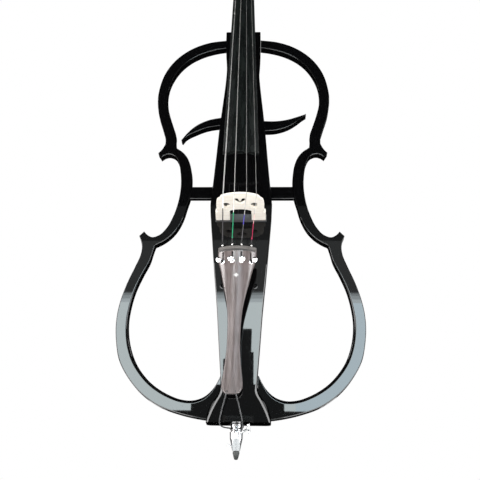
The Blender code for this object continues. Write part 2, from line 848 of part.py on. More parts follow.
def head_matrix():
    """Matrix of the head: local X along the pegbox, local Y towards the strings, local Z across."""
    tilt = math.radians(HEAD_TILT)
    origin = (0, board_under(STRING_LENGTH), STRING_LENGTH + NUT_LENGTH)
    along = (0, -math.sin(tilt), math.cos(tilt))
    up = (0, math.cos(tilt), math.sin(tilt))
    return drawing_axes(origin, along, up, (1, 0, 0))


def spiral(start, turns, count, inset=1.0):
    """Points of the scroll's shrinking spiral about its eye, from an angle in degrees."""
    points = []
    for i in range(count + 1):
        swing = turns * 2 * math.pi * i / count
        radius = SCROLL_RADIUS * math.exp(-SCROLL_SHRINK * (swing + math.radians(start))) * inset
        angle = math.radians(start - 115) + swing
        points.append(
            (SCROLL_ALONG + radius * math.cos(angle), SCROLL_UP + radius * math.sin(angle))
        )
    return points


def head_outline():
    """Side view of the head: pegbox below, spiral round the scroll, throat under it."""
    back = [(0, -0.0225), (0.010, -0.0270), (0.030, -0.0310), (0.070, -0.0365), (0.105, -0.0415)]
    volute = spiral(0, 0.86, 26)
    front = [(0.1045, 0.002), (0.085, 0.0045), (0.040, 0.0045), (0.0, 0.0045)]
    return smooth(back, 3)[:-1] + volute + smooth(front, 2)


def squeeze_head(mesh):
    """Narrows the head towards the scroll, in the head's own frame."""
    for vert in mesh.vertices:
        share = min(1.0, max(0.0, vert.co.x / BOX_LENGTH))
        narrow = 1 + share * (HEAD_WIDTH_SCROLL / HEAD_WIDTH_NUT - 1)
        vert.co.z *= narrow
    return mesh


def with_head(shaft):
    """The neck with its pegbox and scroll, all in the head's frame, slot and peg holes cut."""
    flat = Matrix.Identity(4)
    head = fused(squeeze_head(sheet([head_outline()], HEAD_WIDTH_NUT, flat)), shaft)
    wide = HEAD_WIDTH_SCROLL + 2 * SCROLL_STEP
    head = fused(head, sheet([spiral(230, 0.97, 18, 0.87)], wide, flat))
    eye = HEAD_WIDTH_SCROLL / 2 + 2 * SCROLL_STEP
    ends = [(SCROLL_ALONG, SCROLL_UP, side * eye) for side in (-1, 1)]
    head = fused(head, round_bar(*ends, SCROLL_EYE, 14))
    slot = []
    for along in (BOX_START, BOX_START + BOX_LENGTH):
        share = along / BOX_LENGTH
        wide = HEAD_WIDTH_NUT + share * (HEAD_WIDTH_SCROLL - HEAD_WIDTH_NUT)
        half = wide / 2 - BOX_WALL
        low = 0.0045 - BOX_DEPTH - 0.004 * share
        corners = [(low, -half + 0.002), (low, half - 0.002), (0.03, half), (0.03, -half)]
        slot.append([(along, y, z) for y, z in corners])
    holes = []
    for name, side, along in PEGS:
        holes.append(turned(peg_profile(-0.03, 0.03, GAP * 1.6), 16, peg_matrix(side, along)))
    return carved(head, loft(slot), *holes)


# Pegs: string, side of the head they are turned from, place along the pegbox
PEGS = (("c", -1, 0.022), ("a", 1, 0.042), ("g", -1, 0.064), ("d", 1, 0.084))


def peg_matrix(side, along):
    """Matrix of a peg in the head's frame: local Z points out of the player's side."""
    turn = Matrix.Identity(4) if side > 0 else Matrix.Rotation(math.pi, 4, "X")
    return Matrix.Translation((along, PEG_UP, 0)) @ turn


def peg_radius(z):
    """Radius of a peg's tapered shaft at a distance from the middle of the head."""
    return PEG_RADIUS + PEG_TAPER * z


def peg_profile(low, high, grow=0.0):
    """The (radius, z) profile of a peg's taper between two places, or of its hole if it grows."""
    return [(0, high), (peg_radius(high) + grow, high), (peg_radius(low) + grow, low), (0, low)]


def make_pegs(world):
    """The four tuning pegs, each a tapered shaft, a collar and a flattened heart-shaped head."""
    for name, side, along in PEGS:
        reach = HEAD_WIDTH_NUT / 2 + PEG_SHOWN
        profile = [
            (0, reach + 0.009),
            (0.0052, reach + 0.0088),
            (0.0062, reach + 0.0072),
            (0.0050, reach + 0.0050),
            (0.0094, reach + 0.0032),
            (0.0098, reach + 0.0012),
            (0.0086, reach),
            *peg_profile(-reach, reach)[1:],
        ]
        peg = turned(profile, 16)
        grip = turned(
            [
                (0, reach + 0.0065 + PEG_HEAD_LENGTH),
                (0.0024, reach + 0.0050 + PEG_HEAD_LENGTH),
                (0.0016, reach + 0.0020 + PEG_HEAD_LENGTH),
                (PEG_HEAD_WIDTH * 0.36, reach + PEG_HEAD_LENGTH - 0.004),
                (PEG_HEAD_WIDTH * 0.50, reach + PEG_HEAD_LENGTH - 0.013),
                (PEG_HEAD_WIDTH * 0.40, reach + PEG_HEAD_LENGTH - 0.022),
                (0.0045, reach + 0.0060),
                (0, reach + 0.0060),
            ],
            16,
            Matrix.Diagonal((1.0, 0.36, 1.0, 1.0)),
        )
        matrix = world @ peg_matrix(side, along)
        solid = fused(peg, grip)
        solid.transform(matrix)
        node(f"peg_{name}", solid, "ebony", matrix.translation)


def make_neck():
    """The neck with its foot, heel, pegbox and scroll in one piece."""
    rings = []
    for depth, s in neck_shape():
        half = board_width(min(s, STRING_LENGTH)) / 2 - NECK_MARGIN
        share = max(0.0, (s - STRING_LENGTH + 0.03) / (NUT_LENGTH + 0.03))
        half += share * (HEAD_WIDTH_NUT / 2 - 0.0015 - half)
        rings.append(neck_ring(s, depth, half))
    end = [point + Vector((0, 0.0005, 0.0045)) for point in rings[-1]]
    shaft = fused(loft(rings + [end]), neck_foot_box(0.0))
    world = head_matrix()
    shaft.transform(world.inverted())
    neck = with_head(shaft)
    neck.transform(world)
    node("neck", neck, "piano_black")
    make_pegs(world)


def make_nut():
    """The top nut, an arched strip that the strings pass over."""
    rings = []
    for s in (STRING_LENGTH + GAP, STRING_LENGTH + NUT_LENGTH - 0.0005):
        half = BOARD_WIDTH_NUT / 2
        top = board_top(STRING_LENGTH) + NUT_RISE
        ring = [(half, board_under(s))]
        for i in range(9):
            x = half * (1 - i / 4)
            ring.append((x, top - arch_drop(BOARD_ARCH, x)))
        ring.append((-half, board_under(s)))
        rings.append([at(x, h, s) for x, h in ring])
    node("top_nut", loft(rings), "ebony")


def bridge_crest():
    """Right half of the bridge's crest in millimetres, as (x, height)."""
    return smooth([(0, 88.6), (9, 87.8), (18, 85.4), (26, 82.0), (31.4, 78.4)], 3)


def crest_at(x):
    """Height of the bridge's crest over its feet at a place across."""
    turned_round = [(height, across) for across, height in bridge_crest()]
    drawn = abs(x) / BRIDGE_FOOT_HALF * BRIDGE_DRAWN_HALF
    return value_at(turned_round, drawn) / BRIDGE_DRAWN_HEIGHT * BRIDGE_HEIGHT


def bridge_outline():
    """Right half of the bridge's face in millimetres: crest, side, foot and arch."""
    side = [(31.4, 78.4), (35.2, 70.5), (38.4, 66), (39.2, 60), (39.4, 45), (39.6, 26)]
    notch = [(39.6, 26), (38.2, 23.6), (40.6, 22), (41.6, 12), (43.7, 2.4), (43.7, 0)]
    foot = [(43.7, 0), (19.5, 0), (19.8, 4)]
    arch = [(19.8, 4), (21.4, 12), (21.8, 19), (20.6, 24.6), (24.2, 26.6), (21.0, 28.2)]
    top = [(21.0, 28.2), (14, 30.6), (7, 31.9), (0, 32.2)]
    points = bridge_crest()[:-1] + side[:-1] + notch[:-1] + foot[:-1] + arch[:-1]
    return points + smooth(top, 2)


def bridge_holes():
    """The heart and the two side holes of the bridge, in millimetres."""
    half_heart = [(0, 50.5), (4.5, 54), (8.2, 59), (8.0, 63.6), (5.2, 64.8), (3.0, 62.2), (0, 60.4)]
    heart = half_heart + [(-x, y) for x, y in reversed(half_heart[1:-1])]
    wing = [(17.5, 49.5), (22, 53.2), (30, 53), (32.4, 49.8), (29, 47.2), (25, 48.4), (22, 43.6)]
    holes = [heart, wing, [(-x, y) for x, y in reversed(wing)]]
    return [[(x * MM, y * MM) for x, y in hole] for hole in holes]


def bridge_base():
    """Height on which the bridge's feet stand."""
    return PICKUP_THICK - PICKUP_SUNK + GAP


def make_bridge():
    """The maple bridge: thick at its feet, thin at its crest, leaning towards the neck."""
    right = [(x * MM, y * MM) for x, y in bridge_outline()]
    loop = right + [(-x, y) for x, y in reversed(right[1:-1])]
    upright = drawing_axes((0, bridge_base(), 0), (1, 0, 0), (0, 1, 0), (0, 0, -1))
    solid = sheet([loop, *bridge_holes()], BRIDGE_THICK, Matrix.Identity(4))
    lean = math.tan(math.radians(BRIDGE_LEAN))
    for vert in solid.vertices:
        vert.co.x *= BRIDGE_FOOT_HALF / (BRIDGE_DRAWN_HALF * MM)
        vert.co.y *= BRIDGE_HEIGHT / (BRIDGE_DRAWN_HEIGHT * MM)
        share = vert.co.y / BRIDGE_HEIGHT
        thick = BRIDGE_THICK + share * (BRIDGE_TOP_THICK - BRIDGE_THICK)
        tail_face = vert.co.y * lean
        along = tail_face if vert.co.z > 0 else tail_face + thick
        vert.co.z = -along
    solid.transform(upright)
    node("bridge", solid, "maple")
    node("pickup_strip", pickup_box(0.0), "plastic_black")


def tail_share(s):
    """Share of the way down the tailpiece at s."""
    return (TAIL_TOP - s) / tail_run()


def tail_run():
    """The tailpiece's length measured along the body."""
    return math.sqrt(TAIL_LENGTH**2 - (TAIL_TOP_H - TAIL_LOW_H) ** 2)


def tail_middle(s):
    """Middle line of the tailpiece at s, as (x, h)."""
    share = tail_share(s)
    x = TAIL_X_TOP + share * (TAIL_X_LOW - TAIL_X_TOP)
    return x, TAIL_TOP_H + share * (TAIL_LOW_H - TAIL_TOP_H)


def tail_half():
    """Half width of the tailpiece against the share of its length from its top."""
    return [
        (0.0318, 0.0), (0.0320, 0.05), (0.0308, 0.105), (0.0268, 0.16), (0.0228, 0.235),
        (0.0192, 0.30), (0.0153, 0.375), (0.0126, 0.44), (0.0110, 0.53), (0.0106, 0.62),
        (0.0108, 0.70), (0.0122, 0.77), (0.0142, 0.84), (0.0162, 0.90), (0.0169, 0.935),
        (0.0164, 0.958), (0.0149, 0.974), (0.0124, 0.988), (0.0092, 0.996), (0.0055, 1.0),
    ]


def tail_arch(share):
    """Radius of the tailpiece's arched face at a share of its length."""
    run = min(1.0, share * TAIL_LENGTH / TAIL_ARCH_RUN)
    return TAIL_ARCH + run * (TAIL_ARCH_LOW - TAIL_ARCH)


def tail_ring(half, share):
    """Section of the tailpiece: arched face, and an underside that follows it."""
    s = TAIL_TOP - share * tail_run()
    middle, top = tail_middle(s)
    radius = tail_arch(share)
    ring = []
    for i in range(9):
        x = half * (1 - i / 4)
        ring.append((middle + x, top - arch_drop(radius, x)))
    for i in range(9):
        x = half * (i / 4 - 1) * 0.93
        ring.append((middle + x, top - TAIL_THICK - arch_drop(radius, x) * 0.9))
    return [at(x, h, s) for x, h in ring]


def tuner_matrix(offset):
    """Matrix of a fine tuner: local X across, Y up the tailpiece, Z out of its face."""
    s = TAIL_TOP - TUNER_BACK
    middle, top = tail_middle(s)
    radius = tail_arch(tail_share(s))
    slope = math.atan2(TAIL_TOP_H - TAIL_LOW_H, tail_run())
    fan = math.asin(offset / radius)
    out = Vector((0, math.cos(slope), -math.sin(slope)))
    across = Vector((1, 0, 0))
    normal = out * math.cos(fan) + across * math.sin(fan)
    side = across * math.cos(fan) - out * math.sin(fan)
    up = (0, math.sin(slope), math.cos(slope))
    origin = (middle + offset, top - arch_drop(radius, offset), s)
    return drawing_axes(origin, side, up, normal)


TUNERS = (("c", -TUNER_OUTER), ("g", -TUNER_INNER), ("d", TUNER_INNER), ("a", TUNER_OUTER))


def make_tailpiece():
    """The tailpiece with its slots and post holes, its end fret and a small diamond inlay."""
    solid = rounded(loft([tail_ring(half, share) for half, share in tail_half()]), 0.0010, 1, 50)
    tools = []
    for _, offset in TUNERS:
        matrix = tuner_matrix(offset)
        tools.append(box((-0.0013, 0.0, -0.02), (0.0013, 0.0135, 0.01), matrix))
        tools.append(
            round_bar(
                matrix @ Vector((0, 0, -0.02)),
                matrix @ Vector((0, 0, 0.01)),
                POST_RADIUS + GAP,
                12,
            )
        )
    piece = node("tailpiece", solid, "rosewood")
    for number, tool in enumerate(tools):
        cut(piece, tool, f"tuner_slot_{number}")
    cut(piece, fret_solid(GAP), "fret_groove")
    for number, route in enumerate(gut_holes()):
        cut(piece, route, f"gut_hole_{number}")
    cut(piece, inlay_solid(GAP), "inlay_recess")
    node("tailpiece_fret", fret_solid(0.0), "ebony")
    node("tailpiece_inlay", inlay_solid(0.0), "pearl")


def fret_solid(grow):
    """The arched fret let into the tailpiece near its top, or its groove where it is grown."""
    rings = []
    for along in (FRET_ALONG - grow, FRET_ALONG + FRET_WIDTH + grow):
        s = TAIL_TOP - along
        middle, top = tail_middle(s)
        radius = tail_arch(tail_share(s))
        half = FRET_HALF + 3 * grow
        rise = FRET_RISE + (0.01 if grow else 0.0)
        sunk = FRET_SUNK + grow
        upper = [half * (1 - i / 5) for i in range(11)]
        ring = [(middle + x, top - arch_drop(radius, x) + rise) for x in upper]
        ring += [(middle - x, top - arch_drop(radius, x) - sunk) for x in upper]
        rings.append([at(x, h, s) for x, h in ring])
    return loft(rings)


def inlay_solid(grow):
    """The small diamond inlay in the tailpiece's face, or its recess where it is grown."""
    s = TAIL_TOP - INLAY_ALONG
    middle, top = tail_middle(s)
    matrix = drawing_axes((middle, top, s), (1, 0, 0), (0, 0, 1), (0, 1, 0))
    reach = INLAY_REACH + grow
    high = INLAY_RISE + (0.01 if grow else 0.0)
    low = -INLAY_SUNK - grow
    loop = [(reach, 0), (0, reach), (-reach, 0), (0, -reach)]
    rings = [[(x, y, z) for x, y in loop] for z in (low, high)]
    return loft(rings, matrix)


def make_tuners():
    """The four fine tuners: threaded post and ears, pivoting lever with hook, knurled screw."""
    for name, offset in TUNERS:
        matrix = tuner_matrix(offset)
        node(f"tuner_frame_{name}", tuner_frame(matrix), "chrome")
        pivot = matrix @ Vector((0, PIVOT_ALONG, PIVOT_UP))
        node(f"tuner_lever_{name}", tuner_lever(matrix), "chrome", pivot)
        tip = matrix @ Vector((0, 0, PIVOT_UP + 0.0013))
        node(f"tuner_screw_{name}", tuner_screw(matrix), "chrome", tip)


def tuner_frame(matrix):
    """Post through the tailpiece with its ring nut, base plate, two ears and the pivot pin."""
    under = -TAIL_THICK - 2 * GAP
    low = under - 0.0014
    plate = box((-TUNER_HALF, -0.0048, low), (TUNER_HALF, TUNER_REACH, under))
    post = round_bar((0, 0, low + 0.0004), (0, 0, POST_TOP), POST_RADIUS, 12)
    ears = []
    for side in (-1, 1):
        inner, outer = sorted((side * EAR_INNER, side * TUNER_HALF))
        reach = (outer, PIVOT_ALONG + EAR_HALF, low + 0.0005)
        ears.append(box((inner, PIVOT_ALONG - EAR_HALF, PIVOT_UP - 0.0022), reach))
    end = (EAR_INNER + TUNER_HALF) / 2
    pin = round_bar((-end, PIVOT_ALONG, PIVOT_UP), (end, PIVOT_ALONG, PIVOT_UP), PIVOT_RADIUS, 8)
    solid = fused(plate, post, ring_nut(), *ears, pin)
    bore = round_bar((0, 0, -0.03), (0, 0, 0.02), SCREW_RADIUS + 0.0003, 12)
    solid = carved(solid, bore)
    solid.transform(matrix)
    return solid


def tuner_lever(matrix):
    """Lever under the tailpiece: pad below the screw, barrel on the pin, forked hook at its end."""
    top, low = PIVOT_UP + 0.0010, PIVOT_UP - 0.0010
    end = HOOK_ALONG + LEVER_THICK
    side_view = [
        (-0.0026, low), (end, low), (end, HOOK_UP), (HOOK_ALONG, HOOK_UP),
        (HOOK_ALONG, top), (-0.0026, top),
    ]
    upright = Matrix(((0, 0, 1, 0), (1, 0, 0, 0), (0, 1, 0, 0), (0, 0, 0, 1)))
    solid = sheet([side_view], LEVER_WIDTH, upright)
    half = LEVER_WIDTH / 2
    ends = (-half, PIVOT_ALONG, PIVOT_UP), (half, PIVOT_ALONG, PIVOT_UP)
    barrel = round_bar(*ends, BARREL_AROUND_PIVOT, 12)
    hole = round_bar((-0.01, *ends[0][1:]), (0.01, *ends[1][1:]), PIVOT_RADIUS + 0.0004, 8)
    fork = box((-0.0011, HOOK_ALONG - 0.001, HOOK_UP - 0.0045), (0.0011, end + 0.001, 0.02))
    solid = carved(fused(solid, barrel), hole, fork)
    solid.transform(matrix)
    return solid


def tuner_screw(matrix):
    """Adjusting screw: plain stem and a domed knurled head."""
    head = SCREW_HEAD_UP
    high = head + SCREW_HEAD_LENGTH
    profile = [
        (0, high + 0.0012),
        (SCREW_HEAD_RADIUS * 0.55, high + 0.0010),
        (SCREW_HEAD_RADIUS * 0.86, high + 0.0003),
        (SCREW_HEAD_RADIUS, high - 0.0008),
        (SCREW_HEAD_RADIUS, head + 0.0006),
        (SCREW_HEAD_RADIUS * 0.8, head),
        (SCREW_RADIUS, head),
        (SCREW_RADIUS, PIVOT_UP + 0.0018),
        (SCREW_RADIUS * 0.6, PIVOT_UP + 0.0013),
        (0, PIVOT_UP + 0.0013),
    ]
    return turned(profile, 16, matrix)


def ring_nut():
    """Round nut that clamps the tuner's post to the tailpiece's face."""
    low, high = GAP, GAP + NUT_THICK
    profile = [
        (0, high),
        (NUT_RADIUS - 0.0006, high),
        (NUT_RADIUS, high - 0.0006),
        (NUT_RADIUS, low),
        (0, low),
    ]
    return turned(profile, 16)


def string_route(name, bridge_x, nut_x, radius):
    """Centre line of a string: hook, notch, bridge crest, nut and peg."""
    tuner = tuner_matrix(dict(TUNERS)[name])
    ball = tuner @ Vector((0, HOOK_ALONG - BALL_RADIUS - GAP, HOOK_UP - 0.0010))
    notch = tuner @ Vector((0, HOOK_ALONG + LEVER_THICK + 0.0006, HOOK_UP - 0.0009))
    crest = crest_at(bridge_x)
    lift = radius + GAP
    tail_face = crest * math.tan(math.radians(BRIDGE_LEAN))
    share = crest / BRIDGE_HEIGHT
    thick = BRIDGE_THICK + share * (BRIDGE_TOP_THICK - BRIDGE_THICK)
    top = bridge_base() + crest + lift
    over = [at(bridge_x, top, tail_face), at(bridge_x, top, tail_face + thick)]
    nut_top = board_top(STRING_LENGTH) + NUT_RISE - arch_drop(BOARD_ARCH, nut_x) + lift
    nut_end = STRING_LENGTH + NUT_LENGTH
    nut = [at(nut_x, nut_top, STRING_LENGTH), at(nut_x, nut_top, nut_end)]
    side, along = next((row[1], row[2]) for row in PEGS if row[0] == name)
    rest = (head_matrix() @ peg_matrix(side, along)).translation
    seat = peg_radius(0) + lift + 0.0006
    tilt = math.radians(HEAD_TILT)
    peg = rest + Vector((0, -math.cos(tilt), math.sin(tilt))) * seat
    peg.x = at(nut_x * 0.55, 0, 0).x
    return [ball, notch, *over, *nut, peg]


def make_strings():
    """The four strings, each with the ball at its tail end."""
    for name, bridge_x, nut_x, radius in STRINGS:
        points = string_route(name, bridge_x, nut_x, radius)
        cord = tube(points, radius, 1)
        bm = bmesh.new()
        bmesh.ops.create_uvsphere(bm, u_segments=8, v_segments=6, radius=BALL_RADIUS)
        ball = from_bmesh(bm, Matrix.Translation(points[0]))
        node(f"string_{name}", fused(cord, ball), "steel")


def gut_start(leave, bend):
    """A straight start of the gut: its end inside the tailpiece, where it leaves, and its bend."""
    return [leave + (leave - bend).normalized() * GUT_SUNK, leave, bend]


def gut_route():
    """Route of the tail gut: out of the tailpiece, over the saddle, round the endpin and back."""
    low = TAIL_TOP - tail_run()
    height = tail_middle(low)[1] - 0.0040
    loop = GROOVE_RADIUS + GUT_RADIUS + GAP
    left = gut_start(
        at(-0.0192, height - 0.0002, low - 0.001), at(-0.0252, 0.0125, -BODY_BELOW + 0.018)
    )
    left += [
        at(-0.0288, 0.0080, -BODY_BELOW + 0.0015),
        at(-0.0290, 0.0036, -BODY_BELOW - 0.0032),
        at(-0.0258, -0.0040, -BODY_BELOW - 0.0062),
    ]
    groove = (GROOVE_TOP + GROOVE_LOW) / 2
    around = []
    for degrees in range(200, -41, -24):
        swing = math.radians(degrees)
        around.append(Vector((loop * math.cos(swing), loop * math.sin(swing), groove)))
    right = gut_start(
        at(-0.0028, height - 0.0002, low - 0.001), at(0.0024, 0.0132, -BODY_BELOW + 0.018)
    )
    right += [
        at(0.0062, 0.0092, -BODY_BELOW + 0.0018),
        at(0.0068, 0.0038, -BODY_BELOW - 0.0042),
        at(0.0078, -0.0060, -BODY_BELOW - 0.0066),
    ]
    return smooth([tuple(p) for p in left + around + right[::-1]], 2)


def gut_holes():
    """The two holes in the tailpiece's lower end that hold the tail gut."""
    route = [Vector(point) for point in gut_route()]
    holes = []
    for inner, outer in ((route[0], route[2]), (route[-1], route[-3])):
        ahead = (outer - inner).normalized()
        holes.append(round_bar(inner - ahead * GAP, outer + ahead * 0.006, GUT_RADIUS + GAP, 10))
    return holes


def make_gut():
    """The tail gut and the lower saddle that carries it over the body's edge."""
    node("tail_gut", tube([Vector(p) for p in gut_route()], GUT_RADIUS, 1), "cord_black")
    saddle = rounded(saddle_box(0.0), 0.0012, 2)
    node("lower_saddle", saddle, "ebony")


def make_endpin():
    """Endpin: plug in the body, collar with its cone, sliding rod, rubber tip and two screws."""
    bore = ROD_RADIUS + ROD_CLEAR
    plug_top = PIN_SHOWN + PLUG_LENGTH
    plug = [
        (bore, plug_top),
        (PLUG_RADIUS - 0.0015, plug_top),
        (PLUG_RADIUS, PIN_SHOWN + 0.004),
        (PLUG_RADIUS, PIN_SHOWN - 0.0002),
        (bore, PIN_SHOWN - 0.0002),
        (bore, plug_top),
    ]
    node("endpin_plug", turned(plug, 24), "ebony")
    make_collar(bore)
    rod = [
        (0, ROD_TOP),
        (ROD_RADIUS - 0.0008, ROD_TOP),
        (ROD_RADIUS, ROD_TOP - 0.0008),
        (ROD_RADIUS, TIP_LENGTH + GAP),
        (0.0026, TIP_LENGTH + GAP),
        (0.0026, TIP_LENGTH * 0.42),
        (0, TIP_LENGTH * 0.42),
    ]
    node("endpin_rod", turned(rod, 16), "steel")
    tip = [
        (0, TIP_LENGTH * 0.42 - GAP),
        (0.0026 + GAP, TIP_LENGTH * 0.42 - GAP),
        (0.0026 + GAP, TIP_LENGTH),
        (TIP_RADIUS - 0.0006, TIP_LENGTH),
        (TIP_RADIUS, TIP_LENGTH - 0.0006),
        (TIP_RADIUS * 0.88, TIP_LENGTH * 0.48),
        (TIP_RADIUS * 0.64, TIP_LENGTH * 0.14),
        (TIP_FLAT, 0.0),
        (0, 0.0),
    ]
    node("endpin_tip", turned(tip, 16), "rubber")
    make_clamps()


def make_collar(bore):
    """The chromed collar: grooved rim for the gut, barrel and slit cone, with two screw holes."""
    top = PIN_SHOWN - 2 * GAP
    edge = 0.0004
    profile = [
        (bore, top),
        (COLLAR_RADIUS, top),
        (COLLAR_RADIUS, GROOVE_TOP + edge / 2),
        (GROOVE_RADIUS, GROOVE_TOP - edge / 2),
        (GROOVE_RADIUS, GROOVE_LOW + edge / 2),
        (COLLAR_RADIUS, GROOVE_LOW - edge / 2),
        (COLLAR_RADIUS, BARREL_TOP + 0.0020),
        (NECK_RADIUS, BARREL_TOP + 0.0012),
        (NECK_RADIUS, BARREL_TOP + edge),
        (BARREL_RADIUS, BARREL_TOP - edge),
        (BARREL_RADIUS, BARREL_LOW),
        (CONE_END_RADIUS, CONE_LOW),
        (bore, CONE_LOW),
        (bore, top),
    ]
    collar = turned(profile, 24)
    half = SLIT_WIDTH / 2
    tools = [box((-half, -0.02, CONE_LOW - 0.001), (half, 0.0, SLIT_TOP))]
    for _, place, direction, radius, _, _ in CLAMPS:
        ahead = Vector(direction).normalized()
        start = Vector(place) - ahead * 0.002
        tools.append(round_bar(start, start + ahead * 0.03, radius + GAP, 12))
    node("endpin_collar", carved(collar, *tools), "chrome")


# Clamp screws of the endpin: node, start on the rod's side, direction, stem radius, half width of
# the grip, length of the stem
CLAMPS = (
    ("clamp_wing_screw", (0.0024, -0.0039, 0.0373), (0.62, -1, 0.212), 0.0015, 0.0088, 0.0335),
    ("clamp_small_screw", (-0.0047, -0.0012, 0.0204), (-1, -0.25, 0), 0.0010, 0.0030, 0.0072),
)


def make_clamps():
    """The two side screws that hold the rod: a long winged one and a small one."""
    for name, place, direction, radius, grip, length in CLAMPS:
        start = Vector(place)
        ahead = Vector(direction).normalized()
        end = start + ahead * length
        stem = round_bar(start, end, radius, 10)
        boss = round_bar(end - ahead * 0.0012, end + ahead * 0.0022, radius * 1.7, 10)
        cross = (Vector((0, 0, 1)) - ahead * ahead.z).normalized()
        middle = end + ahead * 0.001
        wings = round_bar(middle - cross * grip, middle + cross * grip, radius * 1.15, 8)
        node(name, fused(stem, boss, wings), "chrome", start)


KNOB_S = COVER_LOW + 0.084
KNOB_X = 0.0155
BOARD_START = 0.070
BOARD_LENGTH_INSIDE = 0.050
SWITCH_S = COVER_LOW + 0.109
JACK_S = COVER_LOW + 0.134
JACK_X = 0.0135
DOOR_LOW = COVER_LOW + 0.009
DOOR_LENGTH = 0.053
DOOR_HALF = 0.0150
BACK = -BODY_DEPTH
INNER = -BODY_DEPTH + COVER_THICK


def make_cover():
    """The back cover with its openings, and the two screws at its ends."""
    cover = node("back_cover", cover_box(0.0), "plastic_black")
    wall = (BACK - 0.01, INNER + 0.01)
    window = front_box(
        -DOOR_HALF - GAP, DOOR_HALF + GAP, *wall, DOOR_LOW - GAP, DOOR_LOW + DOOR_LENGTH + GAP
    )
    cut(cover, window, "battery_window")
    for number, x in enumerate((-KNOB_X, KNOB_X)):
        hole = round_bar(at(x, wall[0], KNOB_S), at(x, wall[1], KNOB_S), SHAFT_RADIUS + 0.0012, 16)
        cut(cover, hole, f"shaft_hole_{number}")
    slot = front_box(-0.0035, 0.0035, *wall, SWITCH_S - 0.0062, SWITCH_S + 0.0062)
    cut(cover, slot, "switch_slot")
    for number, (x, radius) in enumerate(((-JACK_X, 0.0048), (JACK_X, 0.0034))):
        hole = round_bar(at(x, wall[0], JACK_S), at(x, wall[1], JACK_S), radius + GAP, 16)
        cut(cover, hole, f"jack_hole_{number}")
    body = bpy.data.objects["centre_body"]
    inset = CAVITY_MARGIN / 2
    ends = (("low", COVER_LOW + inset), ("top", COVER_LOW + COVER_LENGTH - inset))
    for word, s in ends:
        radius = 0.0011
        bore = round_bar(at(0, BACK - 0.004, s), at(0, BACK + 0.0092, s), radius + GAP, 8)
        cut(body, bore, f"screw_bore_{word}")
        hole = round_bar(at(0, BACK - 0.004, s), at(0, BACK + 0.004, s), radius + GAP, 8)
        cut(cover, hole, f"screw_hole_{word}")
        stem = round_bar(at(0, BACK - 0.0008, s), at(0, BACK + 0.0088, s), radius, 8)
        head = round_bar(at(0, BACK - 0.0014, s), at(0, BACK - GAP, s), 0.0022, 12, 0.0024)
        node(f"cover_screw_{word}", fused(stem, head), "steel")


def make_controls():
    """Volume and tone controls: a fixed body behind the cover and a knob with its shaft."""
    for word, x in (("volume", -KNOB_X), ("tone", KNOB_X)):
        inner = INNER + GAP
        body = round_bar(at(x, inner, KNOB_S), at(x, inner + POT_DEPTH, KNOB_S), POT_RADIUS, 20)
        bore = round_bar(
            at(x, inner - 0.01, KNOB_S), at(x, inner + 0.006, KNOB_S), SHAFT_RADIUS + GAP, 16
        )
        node(f"{word}_control", carved(body, bore), "steel")
        ends = at(x, inner + 0.005, KNOB_S), at(x, BACK - 0.005, KNOB_S)
        shaft = round_bar(*ends, SHAFT_RADIUS, 16)
        start, end = BACK - 0.001, BACK - 0.001 - KNOB_LENGTH
        grip = round_bar(
            at(x, start, KNOB_S), at(x, end, KNOB_S), KNOB_RADIUS, 20, KNOB_RADIUS * 0.88
        )
        line = front_box(x - 0.0005, x + 0.0005, end - 0.0004, end + 0.0005, KNOB_S, KNOB_S + 0.008)
        knob = fused(rounded(grip, 0.0006, 1), shaft, line)
        node(f"{word}_knob", knob, "plastic_black", at(x, BACK, KNOB_S))


def make_sockets():
    """Output socket for a 6.35 mm plug and socket for 3.5 mm phones, with their ring nuts."""
    for name, x, outer, bore, depth in (
        ("output_socket", -JACK_X, 0.0048, 0.0033, 0.0185),
        ("phones_socket", JACK_X, 0.0034, 0.0019, 0.0130),
    ):
        inner = INNER + GAP
        body = front_box(
            x - 0.0085, x + 0.0085, inner, inner + depth, JACK_S - 0.0085, JACK_S + 0.0085
        )
        sleeve = round_bar(at(x, inner + 0.002, JACK_S), at(x, BACK - 0.004, JACK_S), outer, 16)
        ring = round_bar(
            at(x, BACK - GAP, JACK_S), at(x, BACK - 0.0024, JACK_S), outer + 0.0024, 6
        )
        tool = round_bar(at(x, BACK - 0.02, JACK_S), at(x, inner + depth - 0.002, JACK_S), bore, 12)
        node(name, carved(fused(body, sleeve, ring), tool), "steel")


def make_battery():
    """Nine-volt battery, its hinged door and the board that it feeds."""
    middle = DOOR_LOW + DOOR_LENGTH / 2
    half = BATTERY_WIDTH / 2
    near = INNER + 2 * GAP
    low, high = middle - BATTERY_LENGTH / 2, middle + BATTERY_LENGTH / 2
    case = rounded(front_box(-half, half, near, near + BATTERY_THICK, low, high), 0.0012, 1)
    studs = []
    for x in (-0.0064, 0.0064):
        h = near + BATTERY_THICK / 2
        studs.append(round_bar(at(x, h, high - 0.0005), at(x, h, high + 0.0022), 0.0028, 8))
    node("battery", fused(case, *studs), "battery")
    door = front_box(-DOOR_HALF, DOOR_HALF, BACK, INNER, DOOR_LOW, DOOR_LOW + DOOR_LENGTH)
    latch = front_box(
        -0.004, 0.004, BACK - 0.0012, BACK + 0.0005, DOOR_LOW + DOOR_LENGTH - 0.006,
        DOOR_LOW + DOOR_LENGTH - 0.003,
    )
    node("battery_door", fused(door, latch), "plastic_black", at(0, BACK, DOOR_LOW))
    clip_low = high + 0.0026
    clip = front_box(
        -0.0125, 0.0125, near + 0.002, near + 0.0152, clip_low, clip_low + 0.0016
    )
    node("battery_clip", clip, "plastic_black")


